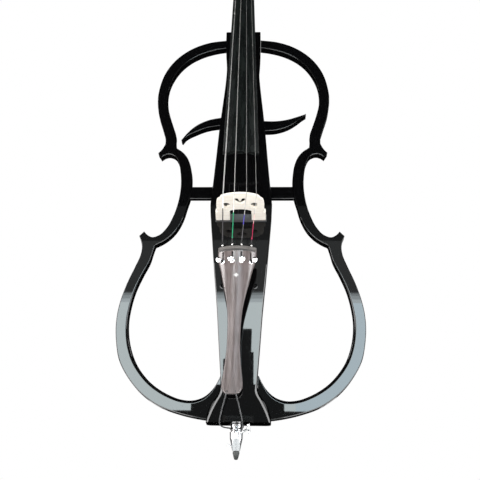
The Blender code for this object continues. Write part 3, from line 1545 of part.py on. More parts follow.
def make_board_electronics():
    """The preamplifier board over the controls, with a few component blocks, and the switch."""
    level = -BODY_DEPTH + CAVITY_DEPTH - 0.0050
    low = COVER_LOW + BOARD_START
    end = low + BOARD_LENGTH_INSIDE
    plate = front_box(-0.0235, 0.0235, level, level + 0.0016, low, end)
    blocks = []
    for x in (-0.0205, 0.0205):
        for s in (low + 0.024, end - 0.004):
            roof = -BODY_DEPTH + CAVITY_DEPTH - GAP
            post = front_box(x - 0.002, x + 0.002, level + 0.001, roof, s - 0.002, s + 0.002)
            blocks.append(post)
    for x, s, wide, tall in (
        (-0.012, low + 0.010, 0.005, 0.0040),
        (0.004, low + 0.012, 0.007, 0.0020),
        (0.014, low + 0.034, 0.004, 0.0040),
        (-0.009, low + 0.036, 0.003, 0.0030),
    ):
        blocks.append(
            front_box(x - wide, x + wide, level - tall, level + 0.0004, s - 0.003, s + 0.003)
        )
    node("preamp_board", fused(plate, *blocks), "board_green")
    base = front_box(
        -0.0045, 0.0045, INNER + GAP, INNER + 0.0052, SWITCH_S - 0.0095, SWITCH_S + 0.0095
    )
    track = front_box(
        -0.0025, 0.0025, BACK - 0.01, INNER + 0.0030, SWITCH_S - 0.0056, SWITCH_S + 0.0056
    )
    node("switch_body", carved(base, track), "steel")
    slider = front_box(
        -0.0019, 0.0019, BACK - 0.0024, INNER + 0.0026, SWITCH_S - 0.0050, SWITCH_S - 0.0010
    )
    node("power_switch", slider, "plastic_black", at(0, BACK, SWITCH_S - 0.003))


def make_lead():
    """The pickup's wire, from under the bridge through the body to the preamplifier board."""
    start, reach = lead_line()
    straight = [start + reach * share for share in (0.08, 0.4, 0.75, 1.0)]
    over_board = -BODY_DEPTH + CAVITY_DEPTH - 0.0019
    inside = [
        at(LEAD_X - 0.001, over_board - 0.0040, COVER_LOW + BOARD_START - 0.025),
        at(LEAD_X + 0.002, over_board, COVER_LOW + BOARD_START - 0.008),
        at(LEAD_X + 0.008, over_board, COVER_LOW + BOARD_START + 0.008),
    ]
    knots = [tuple(point) for point in straight + inside]
    route = [Vector(point) for point in smooth(knots, 3)]
    node("pickup_lead", tube(route, LEAD_RADIUS, 1), "cord_black")


def main():
    """Builds every part of the instrument."""
    for obj in list(bpy.data.objects):
        bpy.data.objects.remove(obj)
    for name in ("electric_cello", "cutters"):
        bpy.context.scene.collection.children.link(bpy.data.collections.new(name))
    make_body()
    make_frames()
    make_blades()
    make_bars()
    make_board()
    make_neck()
    make_nut()
    make_bridge()
    make_tailpiece()
    make_tuners()
    make_strings()
    make_gut()
    make_endpin()
    make_cover()
    make_controls()
    make_sockets()
    make_battery()
    make_board_electronics()
    make_lead()


main()
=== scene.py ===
"""Looks of an electric cello with an open outline frame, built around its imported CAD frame.

Every length is in metres, in the CAD's own frame: +Z up the instrument, -Y out of its front. The
sizes below repeat the CAD's. Plans are drawn in millimetres as (x, s): x runs across from the
middle line of the body, s up from the bridge line, and h stands out of the flat front plate.
"""

from __future__ import annotations

import json
import logging
import math
from dataclasses import dataclass, field
from enum import Enum

import bmesh
import bpy
import numpy as np
from mathutils import Matrix, Vector

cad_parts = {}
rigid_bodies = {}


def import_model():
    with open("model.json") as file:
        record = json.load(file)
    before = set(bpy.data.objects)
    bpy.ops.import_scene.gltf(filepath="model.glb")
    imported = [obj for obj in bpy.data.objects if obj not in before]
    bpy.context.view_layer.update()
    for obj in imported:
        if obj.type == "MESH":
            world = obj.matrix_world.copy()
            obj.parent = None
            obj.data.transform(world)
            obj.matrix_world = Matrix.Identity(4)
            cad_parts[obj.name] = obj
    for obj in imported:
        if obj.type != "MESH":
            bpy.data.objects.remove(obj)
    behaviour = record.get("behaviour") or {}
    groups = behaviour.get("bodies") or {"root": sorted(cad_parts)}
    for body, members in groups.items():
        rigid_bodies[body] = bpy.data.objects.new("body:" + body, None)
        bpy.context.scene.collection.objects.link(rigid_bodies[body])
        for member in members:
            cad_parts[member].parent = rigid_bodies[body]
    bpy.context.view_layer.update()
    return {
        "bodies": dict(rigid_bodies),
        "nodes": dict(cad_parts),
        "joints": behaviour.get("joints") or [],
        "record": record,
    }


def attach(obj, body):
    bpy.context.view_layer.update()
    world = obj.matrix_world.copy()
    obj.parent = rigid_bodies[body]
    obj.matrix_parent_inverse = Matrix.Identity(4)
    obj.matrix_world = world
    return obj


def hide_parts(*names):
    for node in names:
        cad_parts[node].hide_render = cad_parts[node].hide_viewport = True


LOG = logging.getLogger("electric_cello")
Colour = tuple[float, float, float]
Place = tuple[float, float, float]
Plan = list[tuple[float, float]]
MM = 0.001
WELD = 0.000002
SMOOTH_STEPS = 6
FLAT_ANGLE = math.radians(0.5)

# Places of the drawing frame in the world
PIN_OFFSET = 0.0035
PLATE_Y = -0.024
BRIDGE_LINE = 0.402
BODY_ABOVE = 0.421
BODY_BELOW = 0.348
BODY_DEPTH = 0.046
GAP = 0.0003
STRING_LENGTH = 0.690


class Signal:
    """A shader value with arithmetic, so that shader maths reads as an expression."""

    def __init__(self, nodes: Nodes, socket: bpy.types.NodeSocket) -> None:
        """Keep a socket of a node tree.

        Args:
            nodes: The tree that the socket belongs to.
            socket: The output socket that carries the value.
        """
        self.nodes = nodes
        self.socket = socket

    def _maths(self, operation: str, first: Value, second: Value = 0.0) -> Signal:
        """Return one Math node on two values."""
        return self.nodes.add("ShaderNodeMath", {"operation": operation}, {0: first, 1: second})

    def __add__(self, other: Value) -> Signal:
        """Return the sum."""
        return self._maths("ADD", self, other)

    def __radd__(self, other: Value) -> Signal:
        """Return the sum with the value on the right."""
        return self._maths("ADD", other, self)

    def __sub__(self, other: Value) -> Signal:
        """Return the difference."""
        return self._maths("SUBTRACT", self, other)

    def __rsub__(self, other: Value) -> Signal:
        """Return the difference with the value on the right."""
        return self._maths("SUBTRACT", other, self)

    def __mul__(self, other: Value) -> Signal:
        """Return the product."""
        return self._maths("MULTIPLY", self, other)

    def __rmul__(self, other: Value) -> Signal:
        """Return the product with the value on the right."""
        return self._maths("MULTIPLY", other, self)

    def at_least(self, other: Value) -> Signal:
        """Return the greater of the two values."""
        return self._maths("MAXIMUM", self, other)

    def size(self) -> Signal:
        """Return the value without its sign."""
        return self._maths("ABSOLUTE", self)

    def wave(self) -> Signal:
        """Return the sine of the value."""
        return self._maths("SINE", self)


Value = float | Signal


class Nodes:
    """A node tree and the few ways in which this file adds to it."""

    def __init__(self, tree: bpy.types.NodeTree) -> None:
        """Keep a node tree.

        Args:
            tree: The tree of a material or of the world.
        """
        self.tree = tree

    def add(
        self,
        kind: str,
        settings: dict[str, object],
        values: dict[object, object],
        output: object = 0,
    ) -> Signal:
        """Add a node.

        Args:
            kind: The node's type.
            settings: The node's own settings, set first.
            values: A value or a signal for each socket, by name or number.
            output: The output that the result reads, by name or number.

        Returns:
            The chosen output.
        """
        node = self.tree.nodes.new(kind)
        for name, value in settings.items():
            setattr(node, name, value)
        for name, value in values.items():
            self.feed(node.inputs[name], value)
        return Signal(self, node.outputs[output])

    def feed(self, socket: bpy.types.NodeSocket, value: object) -> None:
        """Link a signal to a socket, or set the socket's own value."""
        if isinstance(value, Signal):
            self.tree.links.new(value.socket, socket)
        elif isinstance(value, tuple) and socket.type == "RGBA":
            socket.default_value = (*value, 1.0)
        else:
            socket.default_value = value

    def output(self, signal: Signal, name: str) -> Signal:
        """Return another output of the node that a signal comes from."""
        return Signal(self, signal.socket.node.outputs[name])

    def ends(self, kind: str, signal: Signal, socket: str) -> None:
        """Link a signal to the tree's own output node of a type."""
        node = next(node for node in self.tree.nodes if node.bl_idname == kind)
        self.feed(node.inputs[socket], signal)


class Shader(Nodes):
    """One material's node tree, around its Principled shader."""

    def __init__(self, name: str) -> None:
        """Start a material with a Principled shader.

        Args:
            name: The material's name.
        """
        self.material = bpy.data.materials.new(name)
        self.material.use_nodes = True
        super().__init__(self.material.node_tree)
        self.surface = self.tree.nodes["Principled BSDF"]

    def place(self) -> Signal:
        """Return the place on the object, in metres."""
        return self.add("ShaderNodeTexCoord", {}, {}, "Object")

    def parts(self, vector: Signal) -> tuple[Signal, Signal, Signal]:
        """Return the three numbers of a vector."""
        first = self.add("ShaderNodeSeparateXYZ", {}, {0: vector}, "X")
        return first, self.output(first, "Y"), self.output(first, "Z")

    def stretched(self, vector: Signal, scale: Place) -> Signal:
        """Return a vector scaled along each axis."""
        return self.add("ShaderNodeMapping", {}, {"Vector": vector, "Scale": scale})

    def noise(self, vector: Signal, scale: float, detail: float = 2.0) -> Signal:
        """Return a soft noise of about 0 to 1."""
        values = {"Vector": vector, "Scale": scale, "Detail": detail}
        return self.add("ShaderNodeTexNoise", {}, values, "Fac")

    def between(self, amount: Value, low: float, high: float) -> Signal:
        """Return an amount stretched so that low is 0 and high is 1, held within them."""
        values = {"Value": amount, "From Min": low, "From Max": high}
        return self.add("ShaderNodeMapRange", {"interpolation_type": "SMOOTHSTEP"}, values)

    def mixed(self, amount: Value, first: object, second: object) -> Signal:
        """Return a colour mixed from two by an amount."""
        return self.add("ShaderNodeMix", {"data_type": "RGBA"}, {0: amount, 6: first, 7: second}, 2)

    def bump(self, height: Signal, distance: float, strength: float = 1.0) -> Signal:
        """Return a normal raised by a height, in metres."""
        values = {"Height": height, "Distance": distance, "Strength": strength}
        return self.add("ShaderNodeBump", {}, values)

    def set(self, **values: object) -> None:
        """Set the Principled shader's sockets by their names, with _ for a space."""
        for name, value in values.items():
            self.feed(self.surface.inputs[name.replace("_", " ")], value)


@dataclass(frozen=True)
class Lacquer:
    """Polished black lacquer: a faint orange peel, dust and soft cloth marks in the gloss."""

    name: str = "piano_black_lacquer"
    colour: Colour = (0.0020, 0.0020, 0.0022)
    roughness: float = 0.014
    marks: float = 0.018
    waviness: float = 0.00003
    gloss: float = 0.25

    def make(self) -> bpy.types.Material:
        """Return the material."""
        shader = Shader(self.name)
        place = shader.place()
        cloth = shader.noise(shader.stretched(place, (9.0, 9.0, 2.5)), 6.0, 4.0)
        dust_and_shade = shader.between(shader.noise(place, 900.0, 1.0), 0.70, 0.80)
        cloudy = shader.between(cloth, 0.45, 0.75)
        waves = shader.noise(place, 14.0, 1.0)
        shader.set(
            Base_Color=shader.mixed(dust_and_shade * 0.3, self.colour, (0.03, 0.03, 0.032)),
            Roughness=cloudy * self.marks + dust_and_shade * 0.08 + self.roughness,
            Normal=shader.bump(waves, self.waviness),
            Specular_IOR_Level=self.gloss,
        )
        return shader.material


@dataclass(frozen=True)
class Timber:
    """Wood with grain along one axis, pores, and a sheen from rubbing."""

    name: str
    dark: Colour
    pale: Colour
    roughness: float
    coat: float
    grain: Place
    flecks: float = 0.0
    contrast: float = 1.0
    gloss: float = 0.25
    coat_ior: float = 1.35

    def make(self) -> bpy.types.Material:
        """Return the material."""
        shader = Shader(self.name)
        place = shader.place()
        along = shader.stretched(place, self.grain)
        rings = shader.noise(along, 1.0, 6.0)
        pores = shader.between(shader.noise(along, 7.0, 2.0), 0.60, 0.72)
        spots = shader.noise(shader.stretched(place, (500.0, 500.0, 1600.0)), 1.0)
        fleck = shader.between(spots, 0.62, 0.7)
        tone = shader.between(rings, 0.30, 0.70)
        wood = shader.mixed(tone, self.dark, self.pale)
        spotted = shader.mixed(fleck * self.flecks, wood, self.dark)
        deep = tuple(c * 0.45 for c in self.dark)
        shader.set(
            Base_Color=shader.mixed(pores * (0.5 * self.contrast), spotted, deep),
            Roughness=pores * 0.12 + tone * 0.06 + self.roughness,
            Normal=shader.bump(rings - pores * 0.6, 0.00004 * self.contrast),
            Coat_Weight=self.coat,
            Coat_Roughness=0.17,
            Coat_IOR=self.coat_ior,
            Specular_IOR_Level=self.gloss,
        )
        return shader.material


@dataclass(frozen=True)
class HoleWall:
    """Wall of a hole in the bridge: the same wood, with painted shade that darkens it towards its far end."""

    name: str
    colour: Colour
    deep_shade: Colour
    lean: float
    base: float

    def make(self) -> bpy.types.Material:
        """Return the material. Its painted shade darkens the wall with the depth behind the bridge's leaning
        face.
        """
        shader = Shader(self.name)
        place = shader.place()
        _, across, up = shader.parts(place)
        high = (across * -1) + (PLATE_Y - self.base)
        depth = up - BRIDGE_LINE - high * math.tan(math.radians(self.lean))
        uneven = shader.noise(place, 700.0, 2.0) * 0.0006
        # Painted shade: the wall turns dark past a depth in the hole, with a little noise in where it starts.
        dust_and_shade = shader.between(depth + uneven, 0.0030, 0.0046)
        shader.set(Base_Color=shader.mixed(dust_and_shade, self.colour, self.deep_shade), Roughness=dust_and_shade * 0.2 + 0.55)
        return shader.material


@dataclass(frozen=True)
class Metal:
    """Metal with fine rubbing marks and dull patches."""

    name: str
    colour: Colour
    roughness: float
    wear: float = 0.06

    def make(self) -> bpy.types.Material:
        """Return the material."""
        shader = Shader(self.name)
        place = shader.place()
        patches = shader.between(shader.noise(place, 180.0, 4.0), 0.4, 0.75)
        scratches = shader.noise(shader.stretched(place, (4000.0, 4000.0, 300.0)), 1.0, 2.0)
        duller = tuple(c * 0.85 for c in self.colour)
        shader.set(
            Base_Color=shader.mixed(patches * 0.4, self.colour, duller),
            Metallic=1.0,
            Roughness=patches * self.wear + scratches * 0.05 + self.roughness,
            Normal=shader.bump(scratches, 0.000003),
        )
        return shader.material


@dataclass(frozen=True)
class Moulding:
    """Moulded plastic or rubber with a fine texture and slight fading."""

    name: str
    colour: Colour
    roughness: float
    texture: float = 0.00002
    scale: float = 1800.0
    gloss: float = 0.3

    def make(self) -> bpy.types.Material:
        """Return the material."""
        shader = Shader(self.name)
        place = shader.place()
        fine = shader.noise(place, self.scale, 2.0)
        faded = shader.between(shader.noise(place, 60.0, 3.0), 0.4, 0.8)
        lighter = tuple(c * 1.5 + 0.012 for c in self.colour)
        shader.set(
            Base_Color=shader.mixed(faded * 0.5, self.colour, lighter),
            Roughness=fine * 0.12 + faded * 0.06 + self.roughness,
            Normal=shader.bump(fine, self.texture),
            Specular_IOR_Level=self.gloss,
        )
        return shader.material


@dataclass(frozen=True)
class Wrapping:
    """What is wound tightly round a string's core: metal tape or coloured silk."""

    name: str
    colour: Colour
    metallic: float
    roughness: float
    turns_per_metre: float = 2600.0

    def make(self) -> bpy.types.Material:
        """Return the material."""
        shader = Shader(self.name)
        _, _, up = shader.parts(shader.place())
        turn = (up * (self.turns_per_metre * 2 * math.pi)).wave()
        tarnish = shader.between(shader.noise(shader.place(), 70.0, 3.0), 0.4, 0.8)
        darker = tuple(c * 0.7 for c in self.colour)
        shader.set(
            Base_Color=shader.mixed(tarnish * 0.4 + turn * 0.08 + 0.08, self.colour, darker),
            Metallic=self.metallic,
            Specular_IOR_Level=0.12,
            Roughness=tarnish * 0.12 + self.roughness,
            Normal=shader.bump(turn, 0.00001),
        )
        return shader.material


BLACK_LACQUER = Lacquer()
BOARD_BLACK = Timber(
    "blackened_board", (0.0036, 0.0044, 0.0042), (0.0066, 0.0086, 0.0080), 0.24, 0.0, (150.0, 150.0, 4.0),
    0.0, 0.35, 0.12
)
EBONY = Timber("ebony", (0.008, 0.007, 0.007), (0.026, 0.021, 0.019), 0.22, 0.35, (260.0, 260.0, 12.0))
SADDLE_EBONY = Timber(
    "polished_saddle", (0.003, 0.003, 0.003), (0.006, 0.006, 0.006), 0.20, 0.0, (12.0, 260.0, 260.0),
    0.0, 0.3, 0.02
)
TAIL_WOOD = Timber(
    "tailpiece_wood", (0.092, 0.070, 0.066), (0.150, 0.122, 0.118), 0.18, 1.0, (240.0, 240.0, 7.0), 0.0,
    0.5, 0.14, 1.28
)
TAIL_END = Timber(
    "tailpiece_end", (0.085, 0.075, 0.070), (0.150, 0.138, 0.128), 0.38, 0.0, (12.0, 260.0, 260.0), 0.0,
    0.3, 0.10
)
TAIL_FRET = Timber(
    "tailpiece_fret", (0.012, 0.010, 0.009), (0.026, 0.022, 0.020), 0.35, 0.0, (12.0, 260.0, 260.0)
)
MAPLE = Timber(
    "bridge_maple", (0.86, 0.79, 0.69), (0.93, 0.88, 0.80), 0.45, 0.0, (30.0, 260.0, 420.0), 0.18, 0.3, 0.08
)
# The second colour is painted shade, which darkens the hole walls deep inside the bridge.
MAPLE_HOLE = HoleWall("bridge_hole_wall", (0.86, 0.79, 0.69), (0.055, 0.048, 0.034), 4.5, 0.0030)
CHROME = Metal("polished_chrome", (0.90, 0.90, 0.91), 0.05)
STEEL = Metal("drawn_steel", (0.56, 0.56, 0.57), 0.24)
BALL_WHITE = Metal("ball_nickel", (0.50, 0.49, 0.47), 0.16)
RUBBER = Moulding("tip_rubber", (0.055, 0.058, 0.056), 0.50, 0.00003, 1200.0)
PLASTIC = Moulding("black_plastic", (0.016, 0.016, 0.017), 0.40)
COVER_PLASTIC = Moulding("cover_plastic", (0.013, 0.013, 0.014), 0.34, 0.00003, 2600.0)
POINTER_WHITE = Moulding("pointer_paint", (0.72, 0.72, 0.70), 0.45)
CORD = Moulding("black_cord", (0.014, 0.014, 0.015), 0.42)
# Black that stands in for the shade in the tailpiece's slots: painted shade on the levers, and on each tuner's
# base plate and post.
SLOT_SHADE_BLACK = Moulding("lever_painted_shade", (0.016, 0.016, 0.016), 0.50, 0.00001, 900.0, 0.04)
END_WRAP = Moulding("string_end_wrap", (0.012, 0.012, 0.012), 0.50, 0.00002, 2400.0, 0.12)
BOARD_GREEN = Moulding("circuit_board", (0.012, 0.11, 0.045), 0.32)
INLAY_RIM = Moulding("inlay_rim", (0.30, 0.28, 0.27), 0.40, 0.000004, 300.0, 0.05)
PEARL = Moulding("shell_inlay", (0.84, 0.84, 0.81), 0.14, 0.000004, 300.0)
BATTERY_CASE = Moulding("battery_case", (0.06, 0.06, 0.065), 0.28)
PIN_CHROME = Metal("satin_chrome", (0.33, 0.33, 0.335), 0.07)
WINDINGS = {
    "c": Wrapping("tungsten_winding", (0.40, 0.395, 0.385), 1.0, 0.30),
    "g": Wrapping("silver_winding", (0.30, 0.295, 0.285), 1.0, 0.32),
    "d": Wrapping("steel_winding", (0.17, 0.168, 0.165), 1.0, 0.34, 3400.0),
    "a": Wrapping("chrome_winding", (0.20, 0.197, 0.19), 1.0, 0.34, 3800.0),
}
SILKS = {
    "dark": Wrapping("dark_silk", (0.030, 0.028, 0.030), 0.0, 0.55),
    "green": Wrapping("green_silk", (0.008, 0.24, 0.105), 0.0, 0.55),
    "grey": Wrapping("grey_silk", (0.085, 0.080, 0.085), 0.0, 0.55),
    "violet": Wrapping("violet_silk", (0.07, 0.055, 0.42), 0.0, 0.55),
    "red": Wrapping("red_silk", (0.48, 0.014, 0.075), 0.0, 0.55),
    "rose": Wrapping("rose_silk", (0.78, 0.42, 0.42), 0.0, 0.55),
}

FINISH_OF_SLOT = {
    "piano_black": BLACK_LACQUER,
    "board_black": BOARD_BLACK,
    "ebony": EBONY,
    "rosewood": TAIL_WOOD,
    "maple": MAPLE,
    "chrome": CHROME,
    "steel": STEEL,
    "cord_black": CORD,
    "rubber": RUBBER,
    "plastic_black": PLASTIC,
    "board_green": BOARD_GREEN,
    "pearl": PEARL,
    "battery": BATTERY_CASE,
}


class Paints:
    """The finishes, each made into a material the first time that it is asked for."""

    def __init__(self) -> None:
        """Start with no material made."""
        self.made: dict[str, bpy.types.Material] = {}

    def of(self, finish: object) -> bpy.types.Material:
        """Return the material of a finish."""
        if finish.name not in self.made:
            self.made[finish.name] = finish.make()
        return self.made[finish.name]


@dataclass
class ViewPoint:
    """The camera, at the photograph's place and angle."""

    place: Place = (0.037382, -1.120039, -0.118085)
    left_turn: float = 0.032
    pitch: float = 0.415
    roll: float = 0.014
    focal_length: float = 51.453

    def build(self) -> None:
        """Create the camera: rolled, then tilted up from level, then turned to the left."""
        turn = (
            Matrix.Rotation(self.left_turn, 3, "Z")
            @ Matrix.Rotation(math.pi / 2 + self.pitch, 3, "X")
            @ Matrix.Rotation(self.roll, 3, "Z")
        )
        data = bpy.data.cameras.new("photo_camera")
        data.lens = self.focal_length
        camera = bpy.data.objects.new("photo_camera", data)
        camera.matrix_world = Matrix.Translation(self.place) @ turn.to_4x4()
        bpy.context.scene.collection.objects.link(camera)
        bpy.context.scene.camera = camera


class SoftBox(Enum):
    """The soft boxes: middle, point faced, width and height, colour, radiance, lights all or gloss."""

    FRONT = ((0.0, -5.0, 1.475), (0.0, 0.0, 1.475), (2.9, 1.09), (0.85, 0.96, 1.0), 5.6, True)
    FRONT_SHEEN = ((-0.55, -4.98, 1.425), (-0.55, 0.0, 1.425), (1.8, 0.99), (0.86, 0.97, 0.98), 17.2, False)
    COOL_SHEEN = ((0.90, -4.98, 1.425), (0.90, 0.0, 1.425), (1.1, 0.99), (0.72, 0.90, 1.0), 17.2, False)
    FADE_LOW = ((0.0, -4.98, 1.9375), (0.0, 0.0, 1.9375), (2.9, 0.035), (0.85, 0.96, 1.0), 11.5, False)
    FADE_MID = ((0.0, -4.98, 1.9725), (0.0, 0.0, 1.9725), (2.9, 0.035), (0.85, 0.96, 1.0), 6.0, False)
    FADE_HIGH = ((0.0, -4.98, 2.0075), (0.0, 0.0, 2.0075), (2.9, 0.035), (0.85, 0.96, 1.0), 2.0, False)
    EYE_LEFT = ((-1.9, -4.9, 0.16), (-1.9, 0.0, 0.16), (2.5, 1.04), (1.0, 0.93, 0.92), 9.0, False)
    EYE_RIGHT = ((1.6, -4.9, 0.16), (1.6, 0.0, 0.16), (2.5, 1.04), (0.90, 0.94, 1.0), 7.0, False)
    LEFT = ((-4.0, -1.7, 0.85), (0.0, -1.7, 0.85), (3.6, 1.7), (1.0, 0.93, 0.90), 4.2, True)
    RIGHT = ((4.0, -1.7, 0.85), (0.0, -1.7, 0.85), (3.6, 1.7), (0.88, 0.94, 1.0), 3.6, True)
    HIGH_LEFT = ((-3.6, 0.6, 2.9), (0.0, 0.0, 0.1), (1.8, 1.2), (1.0, 1.0, 1.0), 12.0, False)
    HIGH_RIGHT = ((3.6, 0.6, 2.9), (0.0, 0.0, 0.1), (1.8, 1.2), (1.0, 1.0, 1.0), 12.0, False)
    LOW_BOARD = ((0.0, -1.15, 0.01), (0.0, -1.15, 2.0), (2.2, 1.5), (1.0, 1.0, 1.0), 3.4, True)
    LOW_SHEEN = ((0.0, -0.32, 0.004), (0.0, -0.32, 2.0), (2.6, 0.60), (1.0, 1.0, 1.0), 13.0, False)
    RIM_LEFT = ((-4.3, -2.4, 2.5), (0.0, 0.0, 0.1), (2.4, 4.0), (1.0, 1.0, 1.0), 15.0, False)
    RIM_RIGHT = ((4.1, -2.9, 2.5), (0.0, 0.0, 0.1), (1.6, 4.0), (1.0, 1.0, 1.0), 15.0, False)
    BACK = ((0.0, 4.5, 2.4), (0.0, 0.0, 0.5), (3.0, 1.2), (1.0, 1.0, 1.0), 4.0, True)


class Flag(Enum):
    """Flags that only a reflection shows: how far each glows, and its corners in turn."""

    CEILING = (0.0, ((-2.0, -3.2, 2.03), (2.0, -3.2, 2.03), (2.0, 6.0, 2.03), (-2.0, 6.0, 2.03)))
    CEILING_MID = (0.4, ((-2.0, -3.8, 2.03), (2.0, -3.8, 2.03), (2.0, -3.2, 2.03), (-2.0, -3.2, 2.03)))
    CEILING_FAR = (1.15, ((-2.0, -5.05, 2.03), (2.0, -5.05, 2.03), (2.0, -3.8, 2.03), (-2.0, -3.8, 2.03)))
    FRONT_GAP = (0.32, ((-3.4, -5.05, -0.4), (3.4, -5.05, -0.4), (3.4, -5.05, 0.93), (-3.4, -5.05, 0.93)))
    SHOULDERS = (0.32, ((-0.56, -4.9, 0.85), (0.25, -4.9, 0.85), (0.25, -4.9, 1.14), (-0.56, -4.9, 1.14)))
    WEDGE_LEFT = (0.32, ((-0.56, -4.9, 1.13), (-0.346, -4.9, 1.13), (-0.346, -4.9, 1.30),
                         (-0.56, -4.9, 1.30)))
    WEDGE_RIGHT = (0.32, ((0.015, -4.9, 1.13), (0.20, -4.9, 1.13), (0.20, -4.9, 1.30), (0.015, -4.9, 1.30)))
    STRIP = (0.32, ((-0.20, -4.9, 0.85), (-0.019, -4.9, 0.85), (-0.019, -4.9, 1.428),
                    (-0.038, -4.9, 1.428), (-0.038, -4.9, 1.642), (-0.20, -4.9, 1.642)))
    STRIP_ARM = (0.32, ((-0.287, -4.9, 1.266), (-0.20, -4.9, 1.266), (-0.20, -4.9, 1.367),
                        (-0.287, -4.9, 1.367)))
    SIDE_LEFT = (0.0, ((-0.5, -0.1, 0.50), (-0.5, -0.9, 0.50), (-0.5, -0.9, 2.0), (-0.5, -0.1, 2.0)))
    SIDE_RIGHT = (0.0, ((0.5, -0.1, 0.50), (0.5, -0.9, 0.50), (0.5, -0.9, 2.0), (0.5, -0.1, 2.0)))
    PIN_SHADE = (2.4, ((-0.09, -0.40, 0.006), (0.09, -0.40, 0.006), (0.09, 0.03, 0.006), (-0.09, 0.03, 0.006)))
    UNDER = (0.0, ((-1.0, 0.12, 0.004), (1.0, 0.12, 0.004), (1.0, 1.5, 0.004), (-1.0, 1.5, 0.004)))
    BEHIND = (0.0, ((-0.9, 0.65, 0.14), (0.9, 0.65, 0.14), (0.9, 0.65, 1.5), (-0.9, 0.65, 1.5)))


@dataclass
class Studio:
    """Pale floor, white surroundings, soft boxes, and black flags that keep the lacquer deep."""

    floor_size: float = 16.0
    world_light: float = 0.30

    def build(self) -> None:
        """Create the world, the floor, the soft boxes and the flags."""
        self._world()
        self._floor()
        for box in SoftBox:
            self._soft_box(box)
        for flag in Flag:
            self._flag(flag)

    def _world(self) -> None:
        """White where it is seen or mirrored, and a plain level where it lights."""
        world = bpy.data.worlds.new("studio_world")
        bpy.context.scene.world = world
        world.use_nodes = True
        nodes = Nodes(world.node_tree)
        camera = nodes.add("ShaderNodeLightPath", {}, {}, "Is Camera Ray")
        mirrored = nodes.output(camera, "Is Glossy Ray")
        through = nodes.output(camera, "Is Transmission Ray")
        seen = camera.at_least(mirrored).at_least(through)
        background = world.node_tree.nodes["Background"]
        nodes.feed(background.inputs["Color"], (1.0, 1.0, 1.0))
        nodes.feed(background.inputs["Strength"], seen * (1 - self.world_light) + self.world_light)

    def _floor(self) -> None:
        """A pale floor at the endpin's tip. Its underside is clear, for the camera stands lower."""
        half = self.floor_size / 2
        corners = [(-half, -half), (half, -half), (half, half), (-half, half)]
        mesh = bpy.data.meshes.new("studio_floor")
        mesh.from_pydata([(x, y, 0.0) for x, y in corners], [], [(0, 1, 2, 3)])
        floor = linked("studio_floor", mesh)
        shader = Shader("pale_floor")
        shader.set(Base_Color=(0.86, 0.86, 0.86), Roughness=0.9)
        clear = shader.add("ShaderNodeBsdfTransparent", {}, {})
        below = shader.add("ShaderNodeNewGeometry", {}, {}, "Backfacing")
        pale = Signal(shader, shader.surface.outputs[0])
        either = shader.add("ShaderNodeMixShader", {}, {0: below, 1: pale, 2: clear})
        shader.ends("ShaderNodeOutputMaterial", either, "Surface")
        mesh.materials.append(shader.material)

    def _flag(self, flag: Flag) -> None:
        """Add a flag, which only reflections see."""
        glow, corners = flag.value
        name = f"flag_{flag.name.lower()}"
        mesh = bpy.data.meshes.new(name)
        mesh.from_pydata(corners, [], [tuple(range(len(corners)))])
        cloth = Shader(f"{name}_cloth")
        cloth.set(
            Base_Color=(0.002, 0.002, 0.002), Roughness=1.0, Specular_IOR_Level=0.0,
            Emission_Color=(0.95, 1.0, 1.0), Emission_Strength=glow,
        )
        mesh.materials.append(cloth.material)
        sheet = linked(name, mesh)
        sheet.visible_camera = False
        sheet.visible_diffuse = False
        sheet.visible_shadow = False
        sheet.visible_transmission = False

    def _soft_box(self, box: SoftBox) -> None:
        """Add a soft box, a rectangular lamp that the camera doesn't see.

        Args:
            box: Its place, aim, size, colour, radiance, and whether it lights more than gloss.
        """
        place, aim, size, colour, radiance, lights_all = box.value
        data = bpy.data.lights.new(f"soft_box_{box.name.lower()}", "AREA")
        data.shape = "RECTANGLE"
        data.size, data.size_y = size
        data.color = colour
        data.energy = radiance * math.pi * size[0] * size[1]
        lamp = bpy.data.objects.new(data.name, data)
        ahead = Vector(aim) - Vector(place)
        turn = ahead.to_track_quat("-Z", "Y").to_matrix().to_4x4()
        lamp.matrix_world = Matrix.Translation(place) @ turn
        lamp.visible_camera = False
        lamp.visible_diffuse = lights_all
        bpy.context.scene.collection.objects.link(lamp)


def in_world(x: object, h: object, s: object) -> np.ndarray:
    """Return world points of places in the drawing frame, as one array with a last axis of 3."""
    x, h, s = np.broadcast_arrays(x, h, s)
    return np.stack((PIN_OFFSET + x, PLATE_Y - h, BRIDGE_LINE + s), axis=-1)


def drawing_axes(origin: Place, across: Place, up: Place, out: Place) -> Matrix:
    """Return the matrix whose local X, Y and Z run along three directions of the drawing frame."""
    columns = [Vector((v[0], -v[1], v[2])).normalized() for v in (across, up, out)]
    matrix = Matrix(columns).transposed().to_4x4()
    matrix.translation = in_world(*origin)
    return matrix


